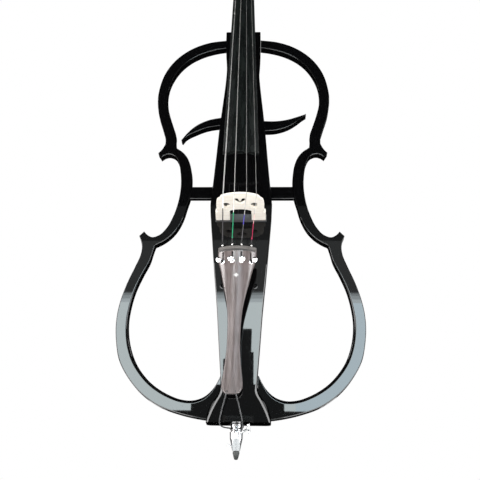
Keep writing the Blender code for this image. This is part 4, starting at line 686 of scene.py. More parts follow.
def curve(knots: object, steps: int = SMOOTH_STEPS) -> np.ndarray:
    """Return points on one smooth curve through knots.

    Each span is a cubic. Its end tangents are the means of the neighbouring slopes, weighted by
    the length of the other span.

    Args:
        knots: The points to pass through, one row each.
        steps: Points for each span.
    """
    points = np.asarray(knots, dtype=float)
    runs = np.linalg.norm(np.diff(points, axis=0), axis=1)[:, None]
    slopes = np.diff(points, axis=0) / runs
    inner = (slopes[:-1] * runs[1:] + slopes[1:] * runs[:-1]) / (runs[1:] + runs[:-1])
    tangents = np.vstack((slopes[:1], inner, slopes[-1:]))
    u = (np.arange(steps) / steps)[None, :, None]
    low, high, run = points[:-1, None], points[1:, None], runs[:, None]
    spans = (
        (2 * u**3 - 3 * u**2 + 1) * low
        + (u**3 - 2 * u**2 + u) * run * tangents[:-1, None]
        + (3 * u**2 - 2 * u**3) * high
        + (u**3 - u**2) * run * tangents[1:, None]
    )
    return np.vstack((spans.reshape(-1, points.shape[1]), points[-1:]))


def drawn(knots: Plan, steps: int = SMOOTH_STEPS) -> np.ndarray:
    """Return a smooth curve through plan points in millimetres, in metres."""
    return curve(knots, steps) * MM


def fallen(radius: object, across: object) -> np.ndarray:
    """Return how far an arched surface has fallen at a distance from its middle."""
    return radius - np.sqrt(np.square(radius) - np.square(across))


def settled(mesh: bpy.types.Mesh) -> bpy.types.Mesh:
    """Merge a mesh's doubles and point its faces out."""
    bm = bmesh.new()
    bm.from_mesh(mesh)
    bmesh.ops.remove_doubles(bm, verts=bm.verts, dist=WELD)
    bmesh.ops.recalc_face_normals(bm, faces=bm.faces)
    bm.to_mesh(mesh)
    bm.free()
    return mesh


def skin(rings: np.ndarray, ends: bool = True, matrix: Matrix | None = None) -> bpy.types.Mesh:
    """Return a closed skin over a grid of points: rings by points of each ring.

    Args:
        rings: The grid, of shape (rings, points, 3).
        ends: Close the first and the last ring with a face each. Otherwise the rings go round.
        matrix: Moves the mesh.
    """
    count, sides = rings.shape[:2]
    last = count - 1 if ends else count
    row = np.arange(last)[:, None]
    point = np.arange(sides)[None, :]
    after, above = (point + 1) % sides, (row + 1) % count
    corners = (row * sides + point, row * sides + after, above * sides + after, above * sides + point)
    faces = np.stack(corners, axis=-1).reshape(-1, 4).tolist()
    if ends:
        faces += [list(range(sides))[::-1], list(range((count - 1) * sides, count * sides))]
    mesh = bpy.data.meshes.new("skin")
    mesh.from_pydata(rings.reshape(-1, 3).tolist(), [], faces)
    settled(mesh)
    if matrix:
        mesh.transform(matrix)
    return mesh


def turned(
    profile: object,
    columns: int = 48,
    matrix: Matrix | None = None,
    ripple: tuple[int, float] = (0, 0.0),
    gripped: tuple[float, float] = (0.0, 0.0),
) -> bpy.types.Mesh:
    """Return a turned solid: a (radius, z) profile carried round the z axis.

    The radius of column c in a gripped stretch is made less by the depth of the ripple where the
    cosine of (number of ridges times the angle) is below zero.

    Args:
        profile: The profile's points from top to bottom, starting and ending on the axis or
            closing on itself.
        columns: Points around.
        matrix: Moves the mesh.
        ripple: Number of ridges around and their depth.
        gripped: Lowest and highest z that have the ridges.
    """
    radius, z = np.asarray(profile, dtype=float).T
    angle = np.arange(columns) * 2 * np.pi / columns
    ridges, depth = ripple
    low, high = gripped
    held = ((z > low) & (z < high) & (radius > 0))[:, None]
    sunk = depth * (np.cos(ridges * angle) < 0)[None, :] * held
    around = radius[:, None] - sunk
    grid = np.stack(
        (around * np.cos(angle), around * np.sin(angle), np.broadcast_to(z[:, None], around.shape)),
        axis=-1,
    )
    ring = abs(radius[0] - radius[-1]) < WELD and abs(z[0] - z[-1]) < WELD
    return skin(grid[:-1] if ring else grid, not ring, matrix)


def swept(
    route: object, radius: object, sides: int = 16, away: object = (1.0, 0.0, 0.0)
) -> bpy.types.Mesh:
    """Return a round tube: a circle carried along a route, square to it.

    The circle's axes come from the route's direction and from another direction turned square to
    it, along which the route never runs.

    Args:
        route: World points.
        radius: Radius, the same for all points or one for each.
        sides: Points around.
        away: The other direction, the same for all points or one for each.
    """
    points = np.asarray(route, dtype=float)
    ahead = np.gradient(points, axis=0)
    ahead /= np.linalg.norm(ahead, axis=1)[:, None]
    away = np.broadcast_to(np.asarray(away, dtype=float), points.shape)
    first = away - ahead * np.sum(ahead * away, axis=1)[:, None]
    first /= np.linalg.norm(first, axis=1)[:, None]
    second = np.cross(ahead, first)
    angle = np.arange(sides) * 2 * np.pi / sides
    reach = np.broadcast_to(radius, len(points))[:, None, None]
    circle = first[:, None] * np.cos(angle)[:, None] + second[:, None] * np.sin(angle)[:, None]
    return skin(points[:, None] + reach * circle)


def rod(start: object, end: object, radius: float, columns: int = 32) -> bpy.types.Mesh:
    """Return a round bar between two points."""
    start, end = Vector(start), Vector(end)
    turn = Vector((0, 0, 1)).rotation_difference(end - start).to_matrix().to_4x4()
    length = (end - start).length
    profile = [(0, length), (radius, length), (radius, 0), (0, 0)]
    return turned(profile, columns, Matrix.Translation(start) @ turn)


def block(low: Place, high: Place, matrix: Matrix | None = None) -> bpy.types.Mesh:
    """Return a box between two corners, for cutting or as the core of a bevelled piece."""
    (x0, y0, z0), (x1, y1, z1) = low, high
    ring = [(x0, y0), (x1, y0), (x1, y1), (x0, y1)]
    return skin(np.array([[(x, y, z) for x, y in ring] for z in (z0, z1)]), True, matrix)


def extruded(outline: np.ndarray, low: float, high: float, matrix: Matrix | None = None) -> bpy.types.Mesh:
    """Return a flat outline carried from one height of its local z to another."""
    flat = np.asarray(outline, dtype=float)
    rings = [np.column_stack((flat, np.full(len(flat), z))) for z in (low, high)]
    return skin(np.array(rings), True, matrix)


def sliced(mesh: bpy.types.Mesh, heights: object) -> bpy.types.Mesh:
    """Return a mesh whose faces are split along level planes, so that it can bend there.

    Args:
        mesh: The mesh.
        heights: World z of each plane.
    """
    bm = bmesh.new()
    bm.from_mesh(mesh)
    for height in heights:
        whole = [*bm.verts, *bm.edges, *bm.faces]
        bmesh.ops.bisect_plane(bm, geom=whole, dist=WELD, plane_co=(0, 0, height), plane_no=(0, 0, 1))
    bm.to_mesh(mesh)
    bm.free()
    return mesh


def places_of(mesh: bpy.types.Mesh) -> np.ndarray:
    """Return the places of a mesh's vertices, one row each."""
    flat = np.empty(len(mesh.vertices) * 3)
    mesh.vertices.foreach_get("co", flat)
    return flat.reshape(-1, 3)


def gathered(*meshes: bpy.types.Mesh) -> bpy.types.Mesh:
    """Return one mesh of several closed shells that are one piece."""
    bm = bmesh.new()
    for mesh in meshes:
        bm.from_mesh(mesh)
    whole = bpy.data.meshes.new("gathered")
    bm.to_mesh(whole)
    bm.free()
    return whole


def linked(name: str, mesh: bpy.types.Mesh) -> bpy.types.Object:
    """Return an object of a mesh, linked to the scene."""
    piece = bpy.data.objects.new(name, mesh)
    bpy.context.scene.collection.objects.link(piece)
    return piece


def evaluated(piece: bpy.types.Object) -> bpy.types.Mesh:
    """Return an object's mesh with its modifiers applied, and remove the object."""
    bpy.context.view_layer.update()
    graph = bpy.context.evaluated_depsgraph_get()
    mesh = bpy.data.meshes.new_from_object(piece.evaluated_get(graph), depsgraph=graph)
    bpy.data.objects.remove(piece)
    return mesh


def carved(mesh: bpy.types.Mesh, *tools: bpy.types.Mesh) -> bpy.types.Mesh:
    """Return a mesh with other closed meshes cut away."""
    piece = linked("carved", mesh)
    cutters = [linked("tool", tool) for tool in tools]
    for cutter in cutters:
        step = piece.modifiers.new("Cut", "BOOLEAN")
        step.operation = "DIFFERENCE"
        step.object = cutter
    result = evaluated(piece)
    for cutter in cutters:
        bpy.data.objects.remove(cutter)
    return settled(result)


def bevelled(mesh: bpy.types.Mesh, width: float, segments: int = 3, angle: float = 50.0) -> bpy.types.Mesh:
    """Return a mesh with its sharp edges rounded."""
    piece = linked("bevelled", mesh)
    bevel = piece.modifiers.new("Round", "BEVEL")
    bevel.width = width
    bevel.segments = segments
    bevel.limit_method = "ANGLE"
    bevel.angle_limit = math.radians(angle)
    return settled(evaluated(piece))


def smoothed_copy(name: str, flattened: bool = False) -> bpy.types.Mesh:
    """Return a merged copy of a CAD node's mesh, without its own normals.

    Args:
        name: The node.
        flattened: Join the triangles of each flat face, so that the edges can be bevelled.
    """
    mesh = settled(bpy.data.objects[name].data.copy())
    if flattened:
        bm = bmesh.new()
        bm.from_mesh(mesh)
        bmesh.ops.dissolve_limit(bm, angle_limit=FLAT_ANGLE, verts=bm.verts, edges=bm.edges)
        bm.to_mesh(mesh)
        bm.free()
    if "custom_normal" in mesh.attributes:
        mesh.attributes.remove(mesh.attributes["custom_normal"])
    return mesh


@dataclass
class Slab:
    """A flat board of one outline with rounded edges.

    Its skin is a grid of rings: the outline drawn in along its inward normals by the rounding
    times (1 - sine of a quarter turn's angle), at a depth of the rounding times (1 - cosine), in
    front and again behind.
    """

    outline: np.ndarray
    front: float
    thick: float
    rounding: object
    back_rounding: float = 0.0010
    arc_steps: int = 5
    longest_mitre: float = 1.6
    corner_edge: float = 0.0004
    corner_spread: float = 0.35
    corner_turn: float = 0.6

    def _inward(self) -> np.ndarray:
        """Return each point's inward direction, longer at corners so that both edges keep their offset."""
        ahead = np.roll(self.outline, -1, axis=0) - self.outline
        ahead /= np.linalg.norm(ahead, axis=1)[:, None]
        normal = np.column_stack((-ahead[:, 1], ahead[:, 0]))
        x, y = self.outline.T
        if np.sum(x * np.roll(y, -1) - np.roll(x, -1) * y) < 0:
            normal = -normal
        before = np.roll(normal, 1, axis=0)
        both = normal + before
        reach = np.maximum(np.sum(both**2, axis=1) / 2, 2 / self.longest_mitre**2)
        return both / reach[:, None]

    def _near_corners(self) -> np.ndarray:
        """Return the most that each point may be rounded: it falls towards the nearest corner.

        A corner is a point where the outline turns by more than the corner turn, in radians.
        """
        ahead = np.roll(self.outline, -1, axis=0) - self.outline
        heading = np.arctan2(ahead[:, 1], ahead[:, 0])
        turn = np.angle(np.exp(1j * (heading - np.roll(heading, 1))))
        corners = self.outline[np.abs(turn) > self.corner_turn]
        apart = np.linalg.norm(self.outline[:, None] - corners[None], axis=2)
        return self.corner_edge + self.corner_spread * apart.min(axis=1, initial=1.0)

    def mesh(self) -> bpy.types.Mesh:
        """Return the board's closed mesh in the world."""
        angles = np.linspace(0, np.pi / 2, self.arc_steps + 1)[:, None]
        front = np.minimum(self.rounding, self._near_corners())[None, :]
        back = np.minimum(self.back_rounding, front)
        inset = np.vstack((front * (1 - np.sin(angles)), back * (1 - np.sin(angles[::-1]))))
        drop = np.vstack((front * (1 - np.cos(angles)), self.thick - back * (1 - np.cos(angles[::-1]))))
        flat = self.outline[None] + inset[..., None] * self._inward()[None]
        return skin(in_world(flat[..., 0], self.front - drop, flat[..., 1]))


@dataclass
class Bench:
    """Where pieces are finished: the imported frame, and each node's body and material slot."""

    frame: dict[str, object]
    paints: Paints
    slots: dict[str, str] = field(default_factory=dict)
    bodies: dict[str, str] = field(default_factory=dict)

    def __post_init__(self) -> None:
        """Read the bodies and slots of the nodes from the record."""
        record = self.frame["record"]
        self.slots = {row["node"]: row["material_slot"] for row in record["subparts"]}
        for body, nodes in record["behaviour"]["bodies"].items():
            self.bodies.update({node: body for node in nodes})

    def finish(
        self,
        name: str,
        mesh: bpy.types.Mesh,
        node: str,
        finishes: tuple[object, ...],
        replaces: bool = True,
        sharp: float = 32.0,
    ) -> bpy.types.Object:
        """Make a piece of a mesh.

        Args:
            name: The piece's name.
            mesh: Its mesh, in the world.
            node: The CAD node whose body it takes, and which it stands for.
            finishes: Its finishes, by material index.
            replaces: The node is hidden. Otherwise the piece is an addition to it.
            sharp: Angle in degrees from which an edge isn't smoothed.
        """
        piece = linked(name, mesh)
        mesh.name = name
        numbers = np.zeros(len(mesh.polygons), dtype=np.int32)
        mesh.polygons.foreach_get("material_index", numbers)
        mesh.materials.clear()
        for kind in finishes:
            mesh.materials.append(self.paints.of(kind))
        mesh.polygons.foreach_set("material_index", np.minimum(numbers, len(finishes) - 1))
        mesh.shade_smooth()
        mesh.set_sharp_from_angle(angle=math.radians(sharp))
        weigh = piece.modifiers.new("Even normals", "WEIGHTED_NORMAL")
        weigh.keep_sharp = True
        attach(piece, self.bodies[node])
        if replaces:
            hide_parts(node)
        LOG.info("%s: %d faces, for %s", name, len(mesh.polygons), node)
        return piece


@dataclass
class CentreBody:
    """The slim solid beam, with its front plate, recesses and bores, and the lower saddle."""

    side_knots: tuple = (
        (34.4, 421), (34.4, 385), (33.2, 357), (31.6, 332), (32.6, 306), (35.1, 275), (38.5, 240),
        (43.2, 189), (47.4, 130), (51.9, 73), (55.2, 32), (53.2, 0), (49.7, -40), (44.4, -102),
        (38.5, -162), (34.6, -215), (31.0, -262), (29.6, -286), (30.8, -299), (35.8, -308),
        (42.6, -317), (46.8, -326), (50.8, -341), (51.6, -348),
    )
    saddle_rounding: float = 0.0014
    sharp: float = 14.0
    lean_start: float = -0.2980
    lean_bend: float = 0.0030
    lean_slope: float = 0.056
    lean_reach: tuple[float, float] = (-0.013, -0.0075)

    def side(self, grow: float = 0.0) -> np.ndarray:
        """Return the beam's closed plan, grown outwards: its right side, mirrored."""
        right = drawn(self.side_knots, 4) + (grow, 0.0)
        right = np.vstack((right[0] + (0, grow), right, right[-1] - (0, grow)))
        return np.vstack((right, right[::-1] * (-1, 1)))

    def cutter(self) -> bpy.types.Mesh:
        """Return the beam's plan as a tall block that cuts what joins its sides."""
        outline = self.side(GAP)
        heights = np.array((0.1, -0.2))[:, None]
        return skin(in_world(outline[:, 0], heights, outline[:, 1]))

    def _leaned(self, mesh: bpy.types.Mesh) -> bpy.types.Mesh:
        """Return the beam with the front of its tail block leaning back.

        The front sinks by the slope times the distance past the start, after a parabola as long
        as the bend. The sinking fades to nothing between two heights below the plate.
        """
        start = self.lean_start
        steps = np.concatenate((start - np.linspace(0, self.lean_bend, 4), np.arange(-0.310, -0.346, -0.008)))
        sliced(mesh, BRIDGE_LINE + steps)
        places = places_of(mesh)
        past = np.maximum(0.0, start - (places[:, 2] - BRIDGE_LINE))
        bend = self.lean_bend
        sunk = self.lean_slope * np.where(past < bend, past**2 / (2 * bend), past - bend / 2)
        low, high = self.lean_reach
        share = np.clip((PLATE_Y - places[:, 1] - low) / (high - low), 0.0, 1.0)
        places[:, 1] += sunk * share
        mesh.vertices.foreach_set("co", places.ravel())
        return mesh

    def build(self, bench: Bench) -> None:
        """Make the beam and the saddle."""
        beam = self._leaned(smoothed_copy("centre_body"))
        bench.finish("body_beam", beam, "centre_body", (BLACK_LACQUER,), sharp=self.sharp)
        saddle = bevelled(smoothed_copy("lower_saddle", True), self.saddle_rounding * 0.3, 2)
        bench.finish("saddle_block", saddle, "lower_saddle", (SADDLE_EBONY,))


@dataclass
class OutlineFrame:
    """The two halves of the open frame: upper bout, corners, waist and lower bout."""

    front: float = -0.008
    thick: float = 0.016
    shift: float = 0.0010
    edge: float = 0.0015
    bout_edge: float = 0.0060
    bout_rise: float = 0.2
    bout_fall: float = 0.45
    outer: tuple = (
        ((30, 407.6), (68, 402), (103, 387.2), (136.6, 357.6), (154.4, 327.4), (163.9, 292),
         (166.1, 264), (161.5, 229), (151.6, 196.3), (146.1, 175.5), (145.6, 164)),
        ((145.6, 164), (150, 154.3), (157.6, 144.3)),
        ((157.6, 144.3), (151.4, 134.8)),
        ((151.4, 134.8), (144, 140.2), (137, 141.8), (130.6, 140.2), (124.6, 136.2),
         (120.3, 129.4), (117.6, 122.4), (114.6, 107.2), (112.6, 88), (112.7, 64), (116.5, 37),
         (123.5, 12), (133.8, -10), (146, -23.4), (158.5, -27.4), (166.6, -23.4), (173, -16.8)),
        ((173, -16.8), (181.2, -25.6)),
        ((181.2, -25.6), (177.2, -36.3), (175, -47), (176.2, -60), (184, -83), (194.5, -110),
         (203.5, -140), (208.3, -168), (209, -190), (206.3, -217), (198.5, -249),
         (182.5, -276.5), (159.3, -302.3), (130.6, -321.7), (97.5, -333.8), (62, -341.6),
         (40, -344.4)),
        ((40, -344.4), (22, -300), (25, -272)),
        ((25, -272), (31, -273.5)),
    )
    bout: tuple = (
        (31, -273.5), (38.6, -288.4), (46.6, -298.8), (57.5, -307.3), (75, -312.6), (94.4, -311.1),
        (111.4, -305.2), (129.5, -295.7), (145, -284.3), (158.8, -269.8), (171, -252.5),
        (181.7, -228), (187.6, -203), (189.2, -180), (187.1, -156), (181.6, -129.2),
        (169.7, -96.8), (159.6, -73.7), (154.8, -54.2), (151.8, -43.2),
    )
    waist: tuple = (
        (151.8, -43.2), (142.5, -38.6), (127, -27.2), (116.8, -15.2), (105.4, 8.3), (98.8, 33),
        (93.6, 54), (91.9, 78), (93.4, 104), (97.4, 122), (103.6, 136.2), (111.6, 146.2),
        (124.2, 155.6),
    )
    upper_inner: tuple = (
        (124.2, 155.6), (126, 172), (126.1, 183), (130.8, 198.4), (139.4, 225.5), (145.3, 250),
        (147.2, 271), (144.6, 295.8), (136.5, 319.4), (124.6, 340), (107, 358.8), (81.8, 374.6),
        (53.8, 384.2), (28, 388.8),
    )

    def _stretch(self, knots: tuple) -> np.ndarray:
        """Return a stretch of the outline without its last point."""
        return drawn(knots, 1 if len(knots) == 2 else SMOOTH_STEPS)[:-1]

    def outline(self) -> tuple[np.ndarray, np.ndarray]:
        """Return the right half's closed plan and the rounding at each of its points.

        The rounding is the plain edge's, but inside the lower bout it grows to the bout's own
        and falls again, each in proportion to the share of the bout's points.
        """
        before = [self._stretch(knots) for knots in self.outer]
        bout = self._stretch(self.bout)
        after = [self._stretch(self.waist), self._stretch(self.upper_inner)]
        after.append(drawn(self.upper_inner[-1:], 1))
        share = np.arange(len(bout)) / len(bout)
        swell = np.minimum(1.0, np.minimum(share / self.bout_rise, (1 - share) / self.bout_fall))
        rounding = [np.full(len(part), self.edge) for part in before]
        rounding.append(np.maximum(self.edge, self.bout_edge * swell))
        rounding += [np.full(len(part), self.edge) for part in after]
        return np.vstack((*before, bout, *after)), np.concatenate(rounding)

    def waist_stop(self, side: int) -> bpy.types.Mesh:
        """Return the block beyond the frame's waist, which cuts the cross bars."""
        edge = drawn(self.waist) - (GAP, 0.0)
        outline = np.vstack((edge, (0.4, edge[-1, 1]), (0.4, edge[0, 1])))
        x = outline[:, 0] * side + self.shift
        return skin(in_world(x, np.array((0.1, -0.2))[:, None], outline[:, 1]))

    def build(self, bench: Bench, body: CentreBody) -> None:
        """Make both halves, cut to the beam's sides."""
        right, rounding = self.outline()
        for name, side in (("left", -1), ("right", 1)):
            plan = right * (side, 1) + (self.shift, 0.0)
            board = Slab(plan, self.front, self.thick, rounding).mesh()
            board = carved(board, body.cutter())
            bench.finish(f"outline_{name}", board, f"frame_{name}", (BLACK_LACQUER,))


@dataclass
class Blades:
    """The two sickle-shaped blades beside the fingerboard: the left droops, the right rises."""

    front: float = -0.010
    thick: float = 0.016
    edge: float = 0.0011
    left: tuple = (
        ((-20, 226), (-41, 223.6), (-65.6, 218), (-88.6, 205.4), (-105, 188.6), (-115, 174)),
        ((-115, 174), (-112.6, 171.9)),
        ((-112.6, 171.9), (-107, 180), (-88.2, 192), (-65.1, 201.7), (-43.2, 205.6), (-20, 206)),
    )
    right: tuple = (
        ((20, 217), (41, 215.8), (63.2, 215.4), (86.4, 219), (104, 224.8), (121.4, 231.4)),
        ((121.4, 231.6), (121.2, 229.2)),
        ((121.2, 229.2), (112.8, 223), (106.2, 217), (86.2, 203), (63, 195.2), (41.2, 194),
         (20, 195.5)),
    )

    def build(self, bench: Bench, body: CentreBody) -> None:
        """Make both blades, cut to the beam's sides."""
        for name, (upper, tip, lower) in (("left", self.left), ("right", self.right)):
            plan = np.vstack((drawn(upper)[:-1], drawn(tip, 1)[:-1], drawn(lower)))
            board = carved(Slab(plan, self.front, self.thick, self.edge).mesh(), body.cutter())
            bench.finish(f"sickle_{name}", board, f"blade_{name}", (BLACK_LACQUER,))


@dataclass
class CrossBars:
    """The bars that tie the frame's waist to the beam."""

    front: float = -0.008
    thick: float = 0.0095
    low: float = 0.0485
    high: float = 0.0724
    reach: float = 0.110
    edge: float = 0.0008

    def build(self, bench: Bench, body: CentreBody, frame: OutlineFrame) -> None:
        """Make both bars, cut to the beam and to the frame's waist."""
        corners = [(0.03, self.low), (self.reach, self.low), (self.reach, self.high), (0.03, self.high)]
        for name, side in (("left", -1), ("right", 1)):
            plan = np.array(corners) * (side, 1)
            board = Slab(plan, self.front, self.thick, self.edge, self.edge, corner_edge=self.edge)
            bar = carved(board.mesh(), body.cutter(), frame.waist_stop(side))
            bench.finish(f"bar_{name}", bar, f"cross_bar_{name}", (BLACK_LACQUER,))


@dataclass
class Fingerboard:
    """The arched black fingerboard, hollow below where it overhangs, and the nut."""

    start: float = 0.105
    start_height: float = 0.064
    slope: float = 0.118
    start_width: float = 0.0635
    nut_width: float = 0.032
    arch: float = 0.063
    edge_height: float = 0.0065
    edge: float = 0.0005
    hollow_end: float = 0.357
    hollow_rim: float = 0.008
    hollow_depth: float = 0.0045
    nut_length: float = 0.0065
    nut_rise: float = 0.0015

    def width(self, s: object) -> np.ndarray:
        """Return the board's width at s."""
        share = (s - self.start) / (STRING_LENGTH - self.start)
        return self.start_width + share * (self.nut_width - self.start_width)

    def top(self, s: object) -> np.ndarray:
        """Return the height of the board's middle at s."""
        return self.start_height - self.slope * (s - self.start)

    def under(self, s: object) -> np.ndarray:
        """Return the height of the board's flat underside at s."""
        return self.top(s) - fallen(self.arch, self.width(s) / 2) - self.edge_height

    def _board(self) -> bpy.types.Mesh:
        """Return the board: a flat underside, and an arc above it at each s."""
        s = np.linspace(self.start, STRING_LENGTH, 14)[:, None]
        half = self.width(s) / 2
        x = half * np.linspace(1, -1, 41)[None, :]
        height = self.top(s) - fallen(self.arch, x)
        x = np.hstack((half, x, -half))
        height = np.hstack((self.under(s), height, self.under(s)))
        board = skin(in_world(x, height, s))
        rings = []
        for at in (self.start - 0.01, self.hollow_end):
            wide = self.width(at) / 2 - self.hollow_rim
            low = self.under(at)
            across = wide * np.array((-1, 1, 0.82, 0.55, -0.55, -0.82))
            rise = np.array((-0.01, -0.01, 0.6, 1.0, 1.0, 0.6))
            rise = np.where(rise > 0, rise * self.hollow_depth, rise)
            rings.append(in_world(across, low + rise, at))
        return carved(bevelled(board, self.edge, 2, 60), skin(np.array(rings)))

    def _nut(self) -> bpy.types.Mesh:
        """Return the nut: an arched strip across the board's end."""
        s = np.array((STRING_LENGTH + GAP, STRING_LENGTH + self.nut_length))[:, None]
        half = self.nut_width / 2
        x = half * np.linspace(1, -1, 25)[None, :]
        height = self.top(STRING_LENGTH) + self.nut_rise - fallen(self.arch, x) + 0 * s
        x = np.hstack((half + 0 * s, x + 0 * s, -half + 0 * s))
        height = np.hstack((self.under(s), height, self.under(s)))
        return bevelled(skin(in_world(x, height, s)), 0.0008, 3, 50)

    def build(self, bench: Bench) -> None:
        """Make the board and the nut."""
        bench.finish("playing_board", self._board(), "fingerboard", (BOARD_BLACK,))
        bench.finish("nut_strip", self._nut(), "top_nut", (EBONY,))


@dataclass
class Head:
    """The neck with its pegbox and scroll, and the four pegs with their string turns."""

    tilt: float = 20.0
    box_half: float = 0.018
    peg_height: float = -0.009
    peg_radius: float = 0.0062
    taper: float = 0.033
    grip_length: float = 0.034
    grip_half: float = 0.0150
    grip_flatness: float = 0.34
    turns: float = 3.0
    pegs: tuple = (("c", -1, 0.022), ("a", 1, 0.042), ("g", -1, 0.064), ("d", 1, 0.084))

    def matrix(self, board: Fingerboard) -> Matrix:
        """Return the head's matrix: local X along the pegbox, Y to the strings, Z across."""
        tilt = math.radians(self.tilt)
        origin = (0, float(board.under(STRING_LENGTH)), STRING_LENGTH + 0.007)
        return drawing_axes(
            origin, (0, -math.sin(tilt), math.cos(tilt)), (0, math.cos(tilt), math.sin(tilt)), (1, 0, 0)
        )

    def peg_matrix(self, side: int, along: float) -> Matrix:
        """Return a peg's matrix in the head: local Z out of the player's side of it."""
        turn = Matrix.Identity(4) if side > 0 else Matrix.Rotation(math.pi, 4, "X")
        return Matrix.Translation((along, self.peg_height, 0)) @ turn

    def _peg(self) -> bpy.types.Mesh:
        """Return a peg: a turned taper and collar, and a turned grip pressed flat to a leaf."""
        reach = self.box_half + 0.003
        wide, narrow = self.peg_radius + self.taper * reach, self.peg_radius - self.taper * reach
        collar = curve(
            [(0.0050, reach + 0.0092), (0.0062, reach + 0.0074), (0.0052, reach + 0.0052),
             (0.0094, reach + 0.0036), (0.0098, reach + 0.0014), (0.0086, reach)], 4
        )
        shaft = [(0, reach + 0.0094), *collar, (wide, reach), (narrow, -reach), (0, -reach)]
        tip = reach + self.grip_length
        leaf = curve(
            [(0.0004, tip + 0.0066), (0.0024, tip + 0.0052), (0.0018, tip + 0.0022),
             (self.grip_half * 0.60, tip - 0.003), (self.grip_half, tip - 0.013),
             (self.grip_half * 0.80, tip - 0.022), (0.0046, reach + 0.0062)], 6
        )
        grip = turned([(0, tip + 0.0067), *leaf, (0, reach + 0.0060)], 40)
        grip.transform(Matrix.Diagonal((1.0, self.grip_flatness, 1.0, 1.0)))
        return gathered(turned(shaft, 40), grip)

    def _string_turns(self, radius: float) -> bpy.types.Mesh:
        """Return a string's turns on its peg: a helix, one string's width further along each turn."""
        angle = np.linspace(0, 2 * np.pi * self.turns, int(24 * self.turns))
        reach = self.peg_radius + radius + GAP
        along = radius * 2.1 * (angle / (2 * np.pi) - self.turns)
        route = np.column_stack((reach * np.cos(angle), reach * np.sin(angle), along))
        return swept(route, radius, 8, (0.0, 0.0, 1.0))

    def build(self, bench: Bench, board: Fingerboard) -> None:
        """Make the neck, the pegs and the turns on them."""
        bench.finish("neck_and_head", smoothed_copy("neck"), "neck", (BLACK_LACQUER,))
        world = self.matrix(board)
        radii = {name: radius for name, _, _, radius, _ in Strings().rows}
        for name, side, along in self.pegs:
            matrix = world @ self.peg_matrix(side, along)
            peg = self._peg()
            peg.transform(matrix)
            bench.finish(f"tuning_peg_{name}", peg, f"peg_{name}", (EBONY,))
            turns = self._string_turns(radii[name])
            turns.transform(matrix)
            bench.finish(f"peg_turns_{name}", turns, f"peg_{name}", (WINDINGS["c"],), False)


@dataclass
class Bridge:
    """The maple bridge with its heart and side holes, and the pickup strip under its feet."""

    height: float = 0.0886
    base: float = 0.0028
    thick: float = 0.0105
    top_thick: float = 0.003
    lean: float = 4.5
    edge: float = 0.0006
    crest: tuple = ((0, 88.6), (9, 87.8), (18, 85.4), (26, 82.0), (31.2, 78.6))
    side: tuple = ((34.4, 71.2), (38.4, 66.8), (39.9, 60), (40.9, 47), (40.8, 30.6), (38.8, 28.7),
                   (40.2, 26.8), (43.1, 25.6), (43.7, 20), (43.7, 0), (19.2, 0), (18.9, 20),
                   (18.7, 27.6), (21.4, 29.7))
    arch: tuple = ((19.0, 31.4), (13, 34.9), (6.5, 36.6), (0, 37.0))
    heart: tuple = ((0, 54), (4.6, 57.4), (8.6, 62.6), (9.6, 68.0), (7.4, 72.0), (4.2, 71.6),
                    (2.2, 66.4), (0, 62.0))
    wing: tuple = ((17.2, 50.0), (19.2, 56.0), (25.0, 57.8), (29.4, 54.8), (28.6, 49.0),
                   (26.2, 42.4), (23.8, 41.8), (21.6, 45.8), (18.6, 46.4), (17.2, 50.0))
    hole_zone: tuple = (0.031, 0.040, 0.0735)

    def thickness(self, high: object) -> np.ndarray:
        """Return the bridge's thickness at a height over its feet."""
        return self.thick + high / self.height * (self.top_thick - self.thick)

    def tail_face(self, high: object) -> np.ndarray:
        """Return s of the face towards the tailpiece at a height over its feet."""
        return high * math.tan(math.radians(self.lean))

    def _through(self, outline: np.ndarray, first: float, last: float) -> bpy.types.Mesh:
        """Return an outline of (x, height) carried through from one share of the thickness to another."""
        x, high = outline.T
        shares = np.array((first, last))[:, None]
        return skin(in_world(x, self.base + high, self.tail_face(high) + shares * self.thickness(high)))

    def _wooden(self) -> bpy.types.Mesh:
        """Return the bridge. The walls of its holes have material 1."""
        right = np.vstack((drawn(self.crest, 3), np.array(self.side) * MM, drawn(self.arch, 2)))
        outline = np.vstack((right, right[-2:0:-1] * (-1, 1)))
        half = drawn(self.heart, 3)
        heart = np.vstack((half, half[-2:0:-1] * (-1, 1)))
        wing = drawn(self.wing, 3)[:-1]
        holes = [self._through(hole, -0.5, 1.5) for hole in (heart, wing, wing * (-1, 1))]
        mesh = bevelled(carved(self._through(outline, 0.0, 1.0), *holes), self.edge, 2)
        values = np.empty((2, len(mesh.polygons) * 3))
        mesh.polygons.foreach_get("center", values[0])
        mesh.polygons.foreach_get("normal", values[1])
        middles, normals = values.reshape(2, -1, 3)
        across, low, high = self.hole_zone
        rise = PLATE_Y - middles[:, 1] - self.base
        walls = (np.abs(middles[:, 0] - PIN_OFFSET) < across) & (rise > low) & (rise < high)
        walls &= np.abs(normals[:, 2]) < 0.6
        mesh.polygons.foreach_set("material_index", walls.astype(np.int32))
        return mesh

    def build(self, bench: Bench) -> None:
        """Make the bridge and the pickup strip."""
        bench.finish("string_bridge", self._wooden(), "bridge", (MAPLE, MAPLE_HOLE))
        strip = bevelled(smoothed_copy("pickup_strip", True), self.edge, 2)
        bench.finish("pickup_bar", strip, "pickup_strip", (PLASTIC,))


